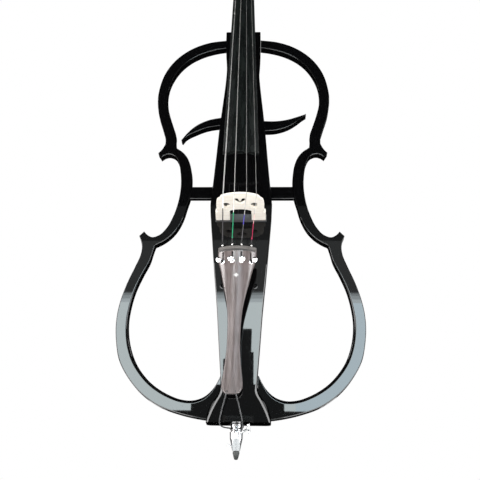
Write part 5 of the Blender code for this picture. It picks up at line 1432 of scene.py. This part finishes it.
@dataclass
class Tailpiece:
    """The arched rosewood tailpiece, its fret and its inlay."""

    top_s: float = -0.072
    length: float = 0.240
    top_height: float = 0.059
    low_height: float = 0.028
    top_x: float = -0.0036
    low_x: float = -0.0104
    thick: float = 0.007
    arch: float = 0.055
    low_arch: float = 0.030
    arch_run: float = 0.150
    edge: float = 0.0022
    end_edge: float = 0.0016
    pale_end: float = 0.0060
    fret_along: float = 0.0060
    fret_width: float = 0.0030
    fret_half: float = 0.0300
    fret_rise: float = 0.0012
    slot_length: float = 0.0160
    inlay_along: float = 0.050
    inlay_reach: float = 0.0050
    halves: tuple = (
        (0.0318, 0.0), (0.0320, 0.05), (0.0308, 0.105), (0.0268, 0.16), (0.0228, 0.235),
        (0.0192, 0.30), (0.0153, 0.375), (0.0126, 0.44), (0.0110, 0.53), (0.0106, 0.62),
        (0.0108, 0.70), (0.0122, 0.77), (0.0142, 0.84), (0.0162, 0.90), (0.0169, 0.935),
        (0.0164, 0.958), (0.0149, 0.974), (0.0124, 0.988), (0.0092, 0.996), (0.0055, 1.0),
    )

    def run(self) -> float:
        """Return the length measured along the body."""
        return math.sqrt(self.length**2 - (self.top_height - self.low_height) ** 2)

    def middle(self, share: object) -> tuple[np.ndarray, np.ndarray]:
        """Return x and height of the middle line at a share of the length."""
        x = self.top_x + share * (self.low_x - self.top_x)
        return x, self.top_height + share * (self.low_height - self.top_height)

    def arch_at(self, share: object) -> np.ndarray:
        """Return the radius of the arched face at a share of the length."""
        run = np.minimum(1.0, share * self.length / self.arch_run)
        return self.arch + run * (self.low_arch - self.arch)

    def tuner_matrix(self, offset: float) -> Matrix:
        """Return a fine tuner's matrix: local X across, Y up the tailpiece, Z out of its face."""
        share = FineTuners.back / self.run()
        middle, top = self.middle(share)
        radius = float(self.arch_at(share))
        slope = math.atan2(self.top_height - self.low_height, self.run())
        fan = math.asin(offset / radius)
        out = Vector((0, math.cos(slope), -math.sin(slope)))
        across = Vector((1, 0, 0))
        normal = out * math.cos(fan) + across * math.sin(fan)
        side = across * math.cos(fan) - out * math.sin(fan)
        up = (0, math.sin(slope), math.cos(slope))
        origin = (middle + offset, top - float(fallen(radius, offset)), self.top_s - FineTuners.back)
        return drawing_axes(origin, side, up, normal)

    def _board(self) -> bpy.types.Mesh:
        """Return the arched board.

        A section is an arc over a nearly parallel arc, each lowered near its sides by a quarter
        round. Towards both ends the section shrinks by a quarter round too.
        """
        knots = curve(np.array(self.halves) * (1, self.length), 5)
        ends = self.end_edge * (1 - np.cos(np.linspace(0, np.pi / 2, 5)))
        along = np.unique(np.concatenate((knots[:, 1], ends, self.length - ends)))
        half = np.interp(along, knots[:, 1], knots[:, 0])
        near = np.minimum(along, self.length - along)
        missing = np.maximum(0.0, self.end_edge - near)
        shrink = (self.end_edge - np.sqrt(self.end_edge**2 - missing**2))[:, None]
        share = (along / self.length)[:, None]
        middle, top = self.middle(share)
        radius = self.arch_at(share)
        half = half[:, None] - shrink
        u = np.sin(np.linspace(np.pi / 2, -np.pi / 2, 45))[None, :]
        over = half * u
        corner = np.minimum(self.edge, half * 0.6)
        beyond = np.maximum(0.0, np.abs(over) - (half - corner))
        quarter = corner - np.sqrt(np.maximum(0.0, corner**2 - beyond**2))
        face = top - fallen(radius, over) - quarter - shrink
        below = half * u[:, ::-1] * 0.96
        beyond = np.maximum(0.0, np.abs(below) - (half * 0.96 - corner))
        quarter = corner - np.sqrt(np.maximum(0.0, corner**2 - beyond**2))
        back = top - self.thick - fallen(radius, below) * 0.92 + quarter * 0.8 + shrink
        x = middle + np.hstack((over, below))
        return skin(in_world(x, np.hstack((face, back)), self.top_s - share * self.run()))

    def _fret(self) -> bpy.types.Mesh:
        """Return the fret: a half-round bar that follows the arched face."""
        swing = np.linspace(0, np.pi, 11)[:, None]
        along = self.fret_along + self.fret_width * (1 - np.cos(swing)) / 2
        share = along / self.run()
        middle, top = self.middle(share)
        x = self.fret_half * np.linspace(1, -1, 31)[None, :]
        face = top - fallen(self.arch_at(share), x)
        rise = self.fret_rise * np.sin(swing) ** 0.7 - 0.0002
        across = middle + np.hstack((x, -x))
        heights = np.hstack((face + rise, face[:, ::-1] - 0.0018))
        return skin(in_world(across, heights, self.top_s - along))

    def _inlay(self, reach: float, low: float, high: float) -> bpy.types.Mesh:
        """Return a diamond of a half width between two heights over the tailpiece's face."""
        share = self.inlay_along / self.run()
        middle, top = self.middle(share)
        matrix = drawing_axes((middle, top, self.top_s - self.inlay_along), (1, 0, 0), (0, 0, 1), (0, 1, 0))
        outline = np.array([(reach, 0), (0, reach), (-reach, 0), (0, -reach)])
        return bevelled(extruded(outline, low, high, matrix), reach * 0.12, 2)

    def build(self, bench: Bench, tuners: FineTuners, gut: TailGut) -> None:
        """Make the board with its slots and holes, the fret and the inlay."""
        tools = []
        for _, offset in tuners.places:
            matrix = self.tuner_matrix(offset)
            tools.append(block((-0.0013, 0.0002, -0.02), (0.0013, self.slot_length, 0.01), matrix))
        board = carved(self._board(), *tools, *gut.holes(self))
        middles = np.empty(len(board.polygons) * 3)
        board.polygons.foreach_get("center", middles)
        pale = middles[2::3] > BRIDGE_LINE + self.top_s - self.pale_end
        board.polygons.foreach_set("material_index", pale.astype(np.int32))
        bench.finish("tail_board", board, "tailpiece", (TAIL_WOOD, TAIL_END))
        bench.finish("tail_fret", self._fret(), "tailpiece_fret", (TAIL_FRET,))
        rim = self._inlay(self.inlay_reach, -0.0010, 0.0005)
        shell = self._inlay(self.inlay_reach * 0.55, -0.0010, 0.0008)
        for polygon in shell.polygons:
            polygon.material_index = 1
        inlay = gathered(rim, shell)
        bench.finish("diamond_inlay", inlay, "tailpiece_inlay", (INLAY_RIM, PEARL))


@dataclass
class FineTuners:
    """The four fine tuners: threaded post and base, ring nut, lever with hook, knurled screw."""

    back = 0.0262
    travel: float = 0.0020
    post_radius: float = 0.0030
    post_top: float = 0.0052
    nut_radius: float = 0.0040
    nut_thick: float = 0.0024
    screw_radius: float = 0.0015
    head_radius: float = 0.0046
    head_length: float = 0.0036
    pivot_along: float = 0.013
    pivot_up: float = -0.0133
    base_half: float = 0.0045
    ear_inner: float = 0.0031
    places: tuple = (("c", -0.0228), ("g", -0.0074), ("d", 0.0074), ("a", 0.0228))

    def _screw(self) -> bpy.types.Mesh:
        """Return the screw: a domed head with ridges round its rim, and a plain stem."""
        low = self.post_top + self.travel + 0.0057
        high, radius = low + self.head_length, self.head_radius
        dome = curve(
            [(0.0001, high + 0.0012), (radius * 0.55, high + 0.0010), (radius * 0.86, high + 0.0003),
             (radius, high - 0.0008)], 5
        )
        foot = self.pivot_up + 0.0013
        profile = [
            (0, high + 0.0012), *dome, (radius, low + 0.0007), (radius * 0.93, low + 0.0001),
            (radius * 0.8, low), (self.screw_radius, low - 0.0002), (self.screw_radius, foot + 0.0005),
            (self.screw_radius * 0.6, foot), (0, foot),
        ]
        return turned(profile, 96, None, (24, 0.00014), (low + 0.0008, high - 0.0009))

    def _frame(self) -> bpy.types.Mesh:
        """Return the post with its nut, the base plate, two ears and the pivot pin."""
        under = Tailpiece.thick * -1 - 2 * GAP
        low = under - 0.0014
        half, along = self.base_half, self.pivot_along
        plate = bevelled(block((-half, -0.0048, low), (half, 0.0165, under)), 0.0004, 2)
        post = turned(
            [(0, self.post_top), (self.post_radius - 0.0004, self.post_top),
             (self.post_radius, self.post_top - 0.0004), (self.post_radius, low + 0.0004),
             (0, low + 0.0004)], 40
        )
        high = GAP + self.nut_thick
        # The base plate and the post take material 1, the black that paints the shade of the tailpiece's slots.
        for dark in (plate, post):
            dark.polygons.foreach_set("material_index", np.ones(len(dark.polygons), dtype=np.int32))
        nut = turned(
            [(0, high), (self.nut_radius - 0.0010, high), (self.nut_radius - 0.0003, high - 0.0003),
             (self.nut_radius, high - 0.0010), (self.nut_radius, GAP + 0.0003),
             (self.nut_radius - 0.0003, GAP), (0, GAP)], 64, None, (8, 0.0003), (GAP, high)
        )
        parts = [plate, post, nut]
        for side in (-1, 1):
            inner, outer = sorted((side * self.ear_inner, side * half))
            lowest = (inner, along - 0.0029, self.pivot_up - 0.0022)
            parts.append(bevelled(block(lowest, (outer, along + 0.0029, low + 0.0005)), 0.0004, 2))
        end = (self.ear_inner + half) / 2
        parts.append(rod((-end, along, self.pivot_up), (end, along, self.pivot_up), 0.0009, 16))
        return gathered(*parts)

    def build(self, bench: Bench, tailpiece: Tailpiece) -> None:
        """Make the four tuners."""
        for name, offset in self.places:
            matrix = tailpiece.tuner_matrix(offset)
            for word, mesh in (("frame", self._frame()), ("screw", self._screw())):
                mesh.transform(matrix)
                bench.finish(f"fine_{word}_{name}", mesh, f"tuner_{word}_{name}", (CHROME, SLOT_SHADE_BLACK))
            # The levers wear painted shade black, so that the slots read dark.
            lever = bevelled(smoothed_copy(f"tuner_lever_{name}", True), 0.0003, 2)
            bench.finish(f"fine_lever_{name}", lever, f"tuner_lever_{name}", (SLOT_SHADE_BLACK,))


@dataclass
class Strings:
    """The four wound strings, with their balls and the coloured silk at both ends."""

    ball_radius: float = 0.0016
    bend: float = 0.0022
    hook_along: float = 0.0292
    hook_up: float = 0.0035
    hook_thick: float = 0.002
    wrap_end: float = 0.0105
    wrap_radius: float = 0.00125
    wrap_pitch: float = 0.0021
    rows: tuple = (
        ("c", -0.0278, -0.0110, 0.00085, ((0.062, "dark"),)),
        ("g", -0.0088, -0.0037, 0.00065, ((0.053, "green"),)),
        ("d", 0.0114, 0.0037, 0.00050, ((0.033, "grey"), (0.049, "violet"))),
        ("a", 0.0276, 0.0110, 0.00040, ((0.037, "red"), (0.052, "rose"))),
    )

    def route(self, row: tuple, board: Fingerboard, head: Head, tail: Tailpiece) -> np.ndarray:
        """Return a string's corners: ball, hook, the bridge's crest, nut and peg."""
        name, bridge_x, nut_x, radius, _ = row
        tuner = tail.tuner_matrix(dict(FineTuners().places)[name])
        ball = tuner @ Vector((0, self.hook_along - self.ball_radius - GAP, self.hook_up - 0.0010))
        hook = tuner @ Vector((0, self.hook_along + self.hook_thick + 0.0006, self.hook_up - 0.0009))
        bridge = Bridge()
        across, heights = drawn(bridge.crest, 3).T
        crest = float(np.interp(abs(bridge_x), across, heights))
        lean, thick = float(bridge.tail_face(crest)), float(bridge.thickness(crest))
        lift = radius + GAP
        high = bridge.base + crest + lift
        over = [in_world(bridge_x, high, lean), in_world(bridge_x, high, lean + thick)]
        nut = float(board.top(STRING_LENGTH)) + board.nut_rise - float(fallen(board.arch, nut_x)) + lift
        ends = [in_world(nut_x, nut, s) for s in (STRING_LENGTH, STRING_LENGTH + 0.007)]
        side, along = next(peg[1:] for peg in head.pegs if peg[0] == name)
        rest = (head.matrix(board) @ head.peg_matrix(side, along)).translation
        tilt = math.radians(head.tilt)
        seat = head.peg_radius + lift + 0.0006
        peg = rest + Vector((0, -math.cos(tilt), math.sin(tilt))) * seat
        peg.x = float(in_world(nut_x * 0.55, 0, 0)[0])
        return np.array([ball, hook, *over, *ends, peg], dtype=float)

    def _eased(self, corners: np.ndarray) -> np.ndarray:
        """Return a route whose inner corners are each replaced by a small parabola."""
        inner, before, after = corners[1:-1], corners[:-2], corners[2:]
        back, ahead = before - inner, after - inner
        far = np.linalg.norm(back, axis=1)[:, None], np.linalg.norm(ahead, axis=1)[:, None]
        start = inner + back * np.minimum(self.bend / far[0], 0.45)
        end = inner + ahead * np.minimum(self.bend / far[1], 0.45)
        u = np.linspace(0, 1, 5)[None, :, None]
        bends = (1 - u) ** 2 * start[:, None] + 2 * u * (1 - u) * inner[:, None] + u**2 * end[:, None]
        return np.vstack((corners[:1], bends.reshape(-1, 3), corners[-1:]))

    def _string(self, row: tuple, route: np.ndarray) -> bpy.types.Mesh:
        """Return a string with its ball. Its faces' material numbers follow the distance from the ball."""
        _, _, _, radius, silk = row
        smooth = self._eased(route)
        gone = np.concatenate(((0.0,), np.cumsum(np.linalg.norm(np.diff(smooth, axis=0), axis=1))))
        nut = gone[-1] - np.linalg.norm(route[-1] - route[-2]) + 0.006
        marks = np.array([end for end, _ in silk] + [nut, self.wrap_end])
        wrap = np.arange(0.0, self.wrap_end, self.wrap_pitch / 6)
        stations = np.unique(np.concatenate((gone, marks, wrap, np.linspace(0.0, gone[-1], 60))))
        points = np.column_stack([np.interp(stations, gone, smooth[:, axis]) for axis in range(3)])
        silky = (stations < marks[-3]) | (stations > nut)
        thick = radius * np.where(silky, 1.12, 1.0)
        ridges = self.wrap_radius * (0.86 + 0.14 * np.cos(stations * 2 * np.pi / self.wrap_pitch))
        mesh = swept(points, np.where(stations <= self.wrap_end, ridges, thick), 12)
        middle = (stations[1:] + stations[:-1]) / 2
        number = np.where(middle > nut, 1, 0)
        for place in range(len(silk) - 1, -1, -1):
            number = np.where(middle < silk[place][0], place + 1, number)
        number = np.where(middle < self.wrap_end, len(silk) + 2, number)
        numbers = np.concatenate((np.repeat(number, 12), (1, 1))).astype(np.int32)
        mesh.polygons.foreach_set("material_index", numbers)
        angle = np.linspace(np.pi / 2, -np.pi / 2, 13)
        profile = self.ball_radius * np.column_stack((np.cos(angle), np.sin(angle)))
        profile[[0, -1], 0] = 0
        ball = turned(profile, 20, Matrix.Translation(Vector(route[0])))
        ball.polygons.foreach_set("material_index", np.full(len(ball.polygons), len(silk) + 1, dtype=np.int32))
        return gathered(mesh, ball)

    def build(self, bench: Bench, board: Fingerboard, head: Head, tail: Tailpiece) -> None:
        """Make the four strings."""
        for row in self.rows:
            mesh = self._string(row, self.route(row, board, head, tail))
            silks = (SILKS[colour] for _, colour in row[4])
            finishes = (WINDINGS[row[0]], *silks, BALL_WHITE, END_WRAP)
            bench.finish(f"wound_string_{row[0]}", mesh, f"string_{row[0]}", finishes)


@dataclass
class TailGut:
    """The loop of gut that ties the tailpiece round the endpin's collar."""

    radius: float = 0.0011
    sunk: float = 0.0075
    groove_radius: float = 0.0080
    groove_middle: float = 0.0470

    def _start(self, leave: np.ndarray, bend: np.ndarray) -> list[np.ndarray]:
        """Return a straight start: the end inside the tailpiece, where it leaves, and its bend."""
        back = leave - bend
        return [leave + back / np.linalg.norm(back) * self.sunk, leave, bend]

    def route(self, tail: Tailpiece) -> np.ndarray:
        """Return the gut's route out of the tailpiece, over the saddle, round the collar and back."""
        low = tail.top_s - tail.run()
        height = tail.low_height - 0.0042
        end = -BODY_BELOW
        left = self._start(in_world(-0.0192, height, low - 0.001), in_world(-0.0252, 0.0125, end + 0.018))
        left += [
            in_world(-0.0288, 0.0080, end + 0.0015),
            in_world(-0.0290, 0.0036, end - 0.0032),
            in_world(-0.0258, -0.0040, end - 0.0062),
        ]
        right = self._start(in_world(-0.0028, height, low - 0.001), in_world(0.0024, 0.0132, end + 0.018))
        right += [
            in_world(0.0062, 0.0092, end + 0.0018),
            in_world(0.0068, 0.0038, end - 0.0042),
            in_world(0.0078, -0.0060, end - 0.0066),
        ]
        swing = np.radians(np.arange(200, -41, -24))
        loop = self.groove_radius + self.radius + GAP
        level = np.full(len(swing), self.groove_middle)
        around = np.column_stack((loop * np.cos(swing), loop * np.sin(swing), level))
        return curve(np.vstack((left, around, right[::-1])), 6)

    def holes(self, tail: Tailpiece) -> list[bpy.types.Mesh]:
        """Return the two holes in the tailpiece's end, for cutting."""
        route = self.route(tail)
        tools = []
        for inner, outer in ((route[0], route[12]), (route[-1], route[-13])):
            ahead = (outer - inner) / np.linalg.norm(outer - inner)
            tools.append(rod(inner - ahead * GAP, outer + ahead * 0.006, self.radius + GAP, 20))
        return tools

    def build(self, bench: Bench, tail: Tailpiece) -> None:
        """Make the gut: a tube whose circles face away from the endpin."""
        route = self.route(tail)
        away = route * (1, 1, 0)
        bench.finish("gut_loop", swept(route, self.radius, 16, away), "tail_gut", (CORD,))


@dataclass
class Endpin:
    """The endpin: chromed collar with slit cone, rod, rubber tip and two clamp screws."""

    shown: float = 0.054
    bore: float = 0.0044
    rim: float = 0.0090
    groove: float = 0.0080
    neck: float = 0.0082
    barrel: float = 0.0105
    barrel_top: float = 0.0418
    barrel_low: float = 0.0315
    cone_radius: float = 0.0058
    cone_low: float = 0.0128
    slit_half: float = 0.0004
    slit_top: float = 0.0385
    rod_radius: float = 0.004
    rod_top: float = 0.424
    tip_radius: float = 0.0051
    tip_flat: float = 0.0024
    tip_length: float = 0.0125
    wing: tuple = ((0.0024, -0.0039, 0.0373), (0.62, -1, 0.212), 0.0015, 0.0088, 0.0335)
    small: tuple = ((-0.0047, -0.0012, 0.0204), (-1, -0.25, 0), 0.0010, 0.0030, 0.0072)

    def _collar(self) -> bpy.types.Mesh:
        """Return the collar: grooved rim, neck, barrel and slit cone, bored for the rod."""
        top, low = self.shown - 2 * GAP, self.cone_low
        rim, barrel, edge = self.rim, self.barrel, 0.0004
        profile = [
            (self.bore, top), (rim - edge, top), (rim, top - edge), (rim, 0.0487),
            (rim - 0.0003, 0.0484), (self.groove, 0.0481), (self.groove, 0.0459),
            (rim - 0.0003, 0.0456), (rim, 0.0453), (rim, self.barrel_top + 0.0022),
            (rim - 0.0003, self.barrel_top + 0.0018), (self.neck, self.barrel_top + 0.0012),
            (self.neck, self.barrel_top + 0.0003), (barrel - edge, self.barrel_top),
            (barrel, self.barrel_top - edge), (barrel, self.barrel_low + edge),
            (barrel - edge, self.barrel_low - edge), (self.cone_radius + 0.0004, low + 0.0008),
            (self.cone_radius, low + 0.0002), (self.cone_radius - 0.0003, low), (self.bore, low),
            (self.bore, top),
        ]
        tools = [block((-self.slit_half, -0.02, low - 0.001), (self.slit_half, 0.0, self.slit_top))]
        for place, direction, radius, _, _ in (self.wing, self.small):
            ahead = Vector(direction).normalized()
            start = Vector(place) - ahead * 0.002
            tools.append(rod(start, start + ahead * 0.03, radius + GAP, 24))
        return carved(turned(profile, 72), *tools)

    def _along(self, screw: tuple) -> Matrix:
        """Return a screw's matrix: local Z along it, local X up and square to it."""
        place, direction, _, _, _ = screw
        ahead = Vector(direction).normalized()
        up = (Vector((0, 0, 1)) - ahead * ahead.z).normalized()
        matrix = Matrix((up, ahead.cross(up), ahead)).transposed().to_4x4()
        matrix.translation = Vector(place)
        return matrix

    def _screw(self, screw: tuple, swell: float, flat: float) -> bpy.types.Mesh:
        """Return a screw: a stem with a thread's ridges, a boss, and two lobes turned across it.

        Args:
            screw: Its place, direction, stem radius, half width of the lobes and length.
            swell: Greatest radius of a lobe.
            flat: Share of that radius along the screw.
        """
        _, _, radius, grip, length = screw
        z = np.linspace(length, 0.0, 90)
        thread = radius - 0.00012 * (1 + np.cos(z * 2 * np.pi / 0.0009)) * (z < length * 0.6)
        stem = turned([(0, length), *np.column_stack((thread, z)), (0, 0)], 24)
        boss = curve(
            [(0.0002, length + 0.0024), (radius * 1.3, length + 0.0020), (radius * 1.8, length + 0.0006),
             (radius * 1.8, length - 0.0008), (radius, length - 0.0018)], 4
        )
        hub = turned([(0, length + 0.0024), *boss, (0, length - 0.0018)], 32)
        z = grip * np.cos(np.linspace(0, np.pi, 33))
        near = 0.45 + 0.55 * np.sin(np.clip((np.abs(z) / grip - 0.25) / 0.75, 0, 1) * np.pi) ** 0.8
        lobes = swell * near * np.sqrt(np.maximum(0, 1 - (z / grip) ** 6))
        lobes[[0, -1]] = 0
        wings = turned(np.column_stack((lobes, z)), 24)
        wings.transform(Matrix.Diagonal((flat, 1, 1, 1)))
        wings.transform(Matrix.Translation((0, 0, length + 0.0008)) @ Matrix.Rotation(math.pi / 2, 4, "Y"))
        mesh = gathered(stem, hub, wings)
        mesh.transform(self._along(screw))
        return mesh

    def build(self, bench: Bench) -> None:
        """Make the collar, the rod, the tip and the two screws."""
        bench.finish("pin_collar", self._collar(), "endpin_collar", (PIN_CHROME,))
        length, reach = self.tip_length, self.rod_radius
        profile = [
            (0, self.rod_top), (reach - 0.0008, self.rod_top), (reach - 0.0002, self.rod_top - 0.0003),
            (reach, self.rod_top - 0.0008), (reach, length + GAP), (0.0026, length + GAP),
            (0.0026, length * 0.42), (0, length * 0.42),
        ]
        bench.finish("pin_rod", turned(profile, 48), "endpin_rod", (PIN_CHROME,))
        outer = curve(
            [(self.tip_radius - 0.0005, length), (self.tip_radius, length - 0.0007),
             (self.tip_radius * 0.88, length * 0.48), (self.tip_radius * 0.64, length * 0.14),
             (self.tip_flat, 0.0)], 6
        )
        tip = [(0, length * 0.42 - GAP), (0.0029, length * 0.42 - GAP), (0.0029, length), *outer, (0, 0)]
        bench.finish("pin_tip", turned(tip, 48), "endpin_tip", (RUBBER,))
        bench.finish("wing_screw", self._screw(self.wing, 0.0024, 0.7), "clamp_wing_screw", (PIN_CHROME,))
        bench.finish("side_screw", self._screw(self.small, 0.0014, 1.0), "clamp_small_screw", (STEEL,))


@dataclass
class BackPanel:
    """The back cover with its screws, knobs and sockets, and the battery door."""

    low: float = 0.056
    length: float = 0.164
    knob_x: float = 0.0155
    knob_up: float = 0.084
    knob_radius: float = 0.009
    knob_length: float = 0.012
    screw_inset: float = 0.0025
    edge: float = 0.0004

    def _facing_back(self, x: float, s: float) -> Matrix:
        """Return the matrix of a turned piece on the back: local Z out of the back, Y up."""
        return drawing_axes((x, -BODY_DEPTH, s), (-1, 0, 0), (0, 0, 1), (0, -1, 0))

    def _screw(self) -> bpy.types.Mesh:
        """Return a cover screw: a low dome with a slot, and its stem."""
        dome = curve([(0.0001, 0.0014), (0.0012, 0.0013), (0.0021, 0.0008), (0.0023, GAP)], 4)
        profile = [(0, 0.0014), *dome, (0.0011, GAP), (0.0011, -0.0088), (0, -0.0088)]
        slot = block((-0.0030, -0.0003, 0.0008), (0.0030, 0.0003, 0.003))
        return carved(turned(profile, 32), slot)

    def _knob(self) -> bpy.types.Mesh:
        """Return a knob: a ridged, slightly tapered grip, its shaft and a raised pale line."""
        start, end = 0.001, 0.001 + self.knob_length
        wide, narrow = self.knob_radius, self.knob_radius * 0.88
        profile = [
            (0, end - 0.0003), (narrow * 0.7, end - 0.0003), (narrow * 0.75, end), (narrow - 0.0006, end),
            (narrow, end - 0.0006), (wide, start + 0.0024), (wide, start + 0.0004), (wide - 0.0004, start),
            (0.003, start), (0.003, -0.007), (0, -0.007),
        ]
        knob = turned(profile, 120, None, (30, 0.0003), (start + 0.0026, end - 0.0008))
        line = bevelled(block((-0.0005, 0.0, end - 0.0006), (0.0005, 0.0077, end + 0.0004)), 0.0002, 2)
        for polygon in line.polygons:
            polygon.material_index = 1
        return gathered(knob, line)

    def build(self, bench: Bench) -> None:
        """Make the cover, its screws, the knobs, the sockets, the door and the switch."""
        cover = bevelled(smoothed_copy("back_cover", True), self.edge, 2)
        bench.finish("rear_cover", cover, "back_cover", (COVER_PLASTIC,))
        for name, s in (("low", self.low + self.screw_inset), ("top", self.low + self.length - self.screw_inset)):
            screw = self._screw()
            screw.transform(self._facing_back(0.0, s))
            bench.finish(f"rear_screw_{name}", screw, f"cover_screw_{name}", (STEEL,))
        for name, x in (("volume", -self.knob_x), ("tone", self.knob_x)):
            knob = self._knob()
            knob.transform(self._facing_back(x, self.low + self.knob_up))
            bench.finish(f"{name}_dial", knob, f"{name}_knob", (PLASTIC, POINTER_WHITE))
        for name in ("output_socket", "phones_socket"):
            socket = bevelled(smoothed_copy(name, True), self.edge / 2, 2)
            bench.finish(f"{name}_fitting", socket, name, (STEEL,))
        door = bevelled(smoothed_copy("battery_door", True), self.edge, 2)
        bench.finish("battery_hatch", door, "battery_door", (COVER_PLASTIC,))
        switch = bevelled(smoothed_copy("power_switch", True), self.edge / 2, 2)
        bench.finish("switch_slider", switch, "power_switch", (PLASTIC,))


def dress_nodes(frame: dict[str, object], paints: Paints) -> None:
    """Give every CAD node the finish of its slot.

    Args:
        paints: The finishes.
    """
    slots = {row["node"]: row["material_slot"] for row in frame["record"]["subparts"]}
    for name, node in frame["nodes"].items():
        finish = FINISH_OF_SLOT[slots[name]]
        node.data.materials.clear()
        node.data.materials.append(paints.of(finish))
        LOG.info("%s wears %s", name, finish.name)


def build_instrument(bench: Bench) -> None:
    """Build the detailed pieces in order, from the body to the endpin and the back."""
    body, outline = CentreBody(), OutlineFrame()
    board, head = Fingerboard(), Head()
    tail, tuners, gut = Tailpiece(), FineTuners(), TailGut()
    body.build(bench)
    outline.build(bench, body)
    Blades().build(bench, body)
    CrossBars().build(bench, body, outline)
    board.build(bench)
    head.build(bench, board)
    Bridge().build(bench)
    tail.build(bench, tuners, gut)
    tuners.build(bench, tail)
    Strings().build(bench, board, head, tail)
    gut.build(bench, tail)
    Endpin().build(bench)
    BackPanel().build(bench)


def main() -> None:
    """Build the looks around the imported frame."""
    logging.basicConfig(level=logging.INFO, format="%(message)s")
    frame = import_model()
    bpy.context.scene.view_settings.view_transform = "Standard"
    paints = Paints()
    ViewPoint().build()
    Studio().build()
    dress_nodes(frame, paints)
    build_instrument(Bench(frame, paints))


if __name__ == "__main__":
    main()
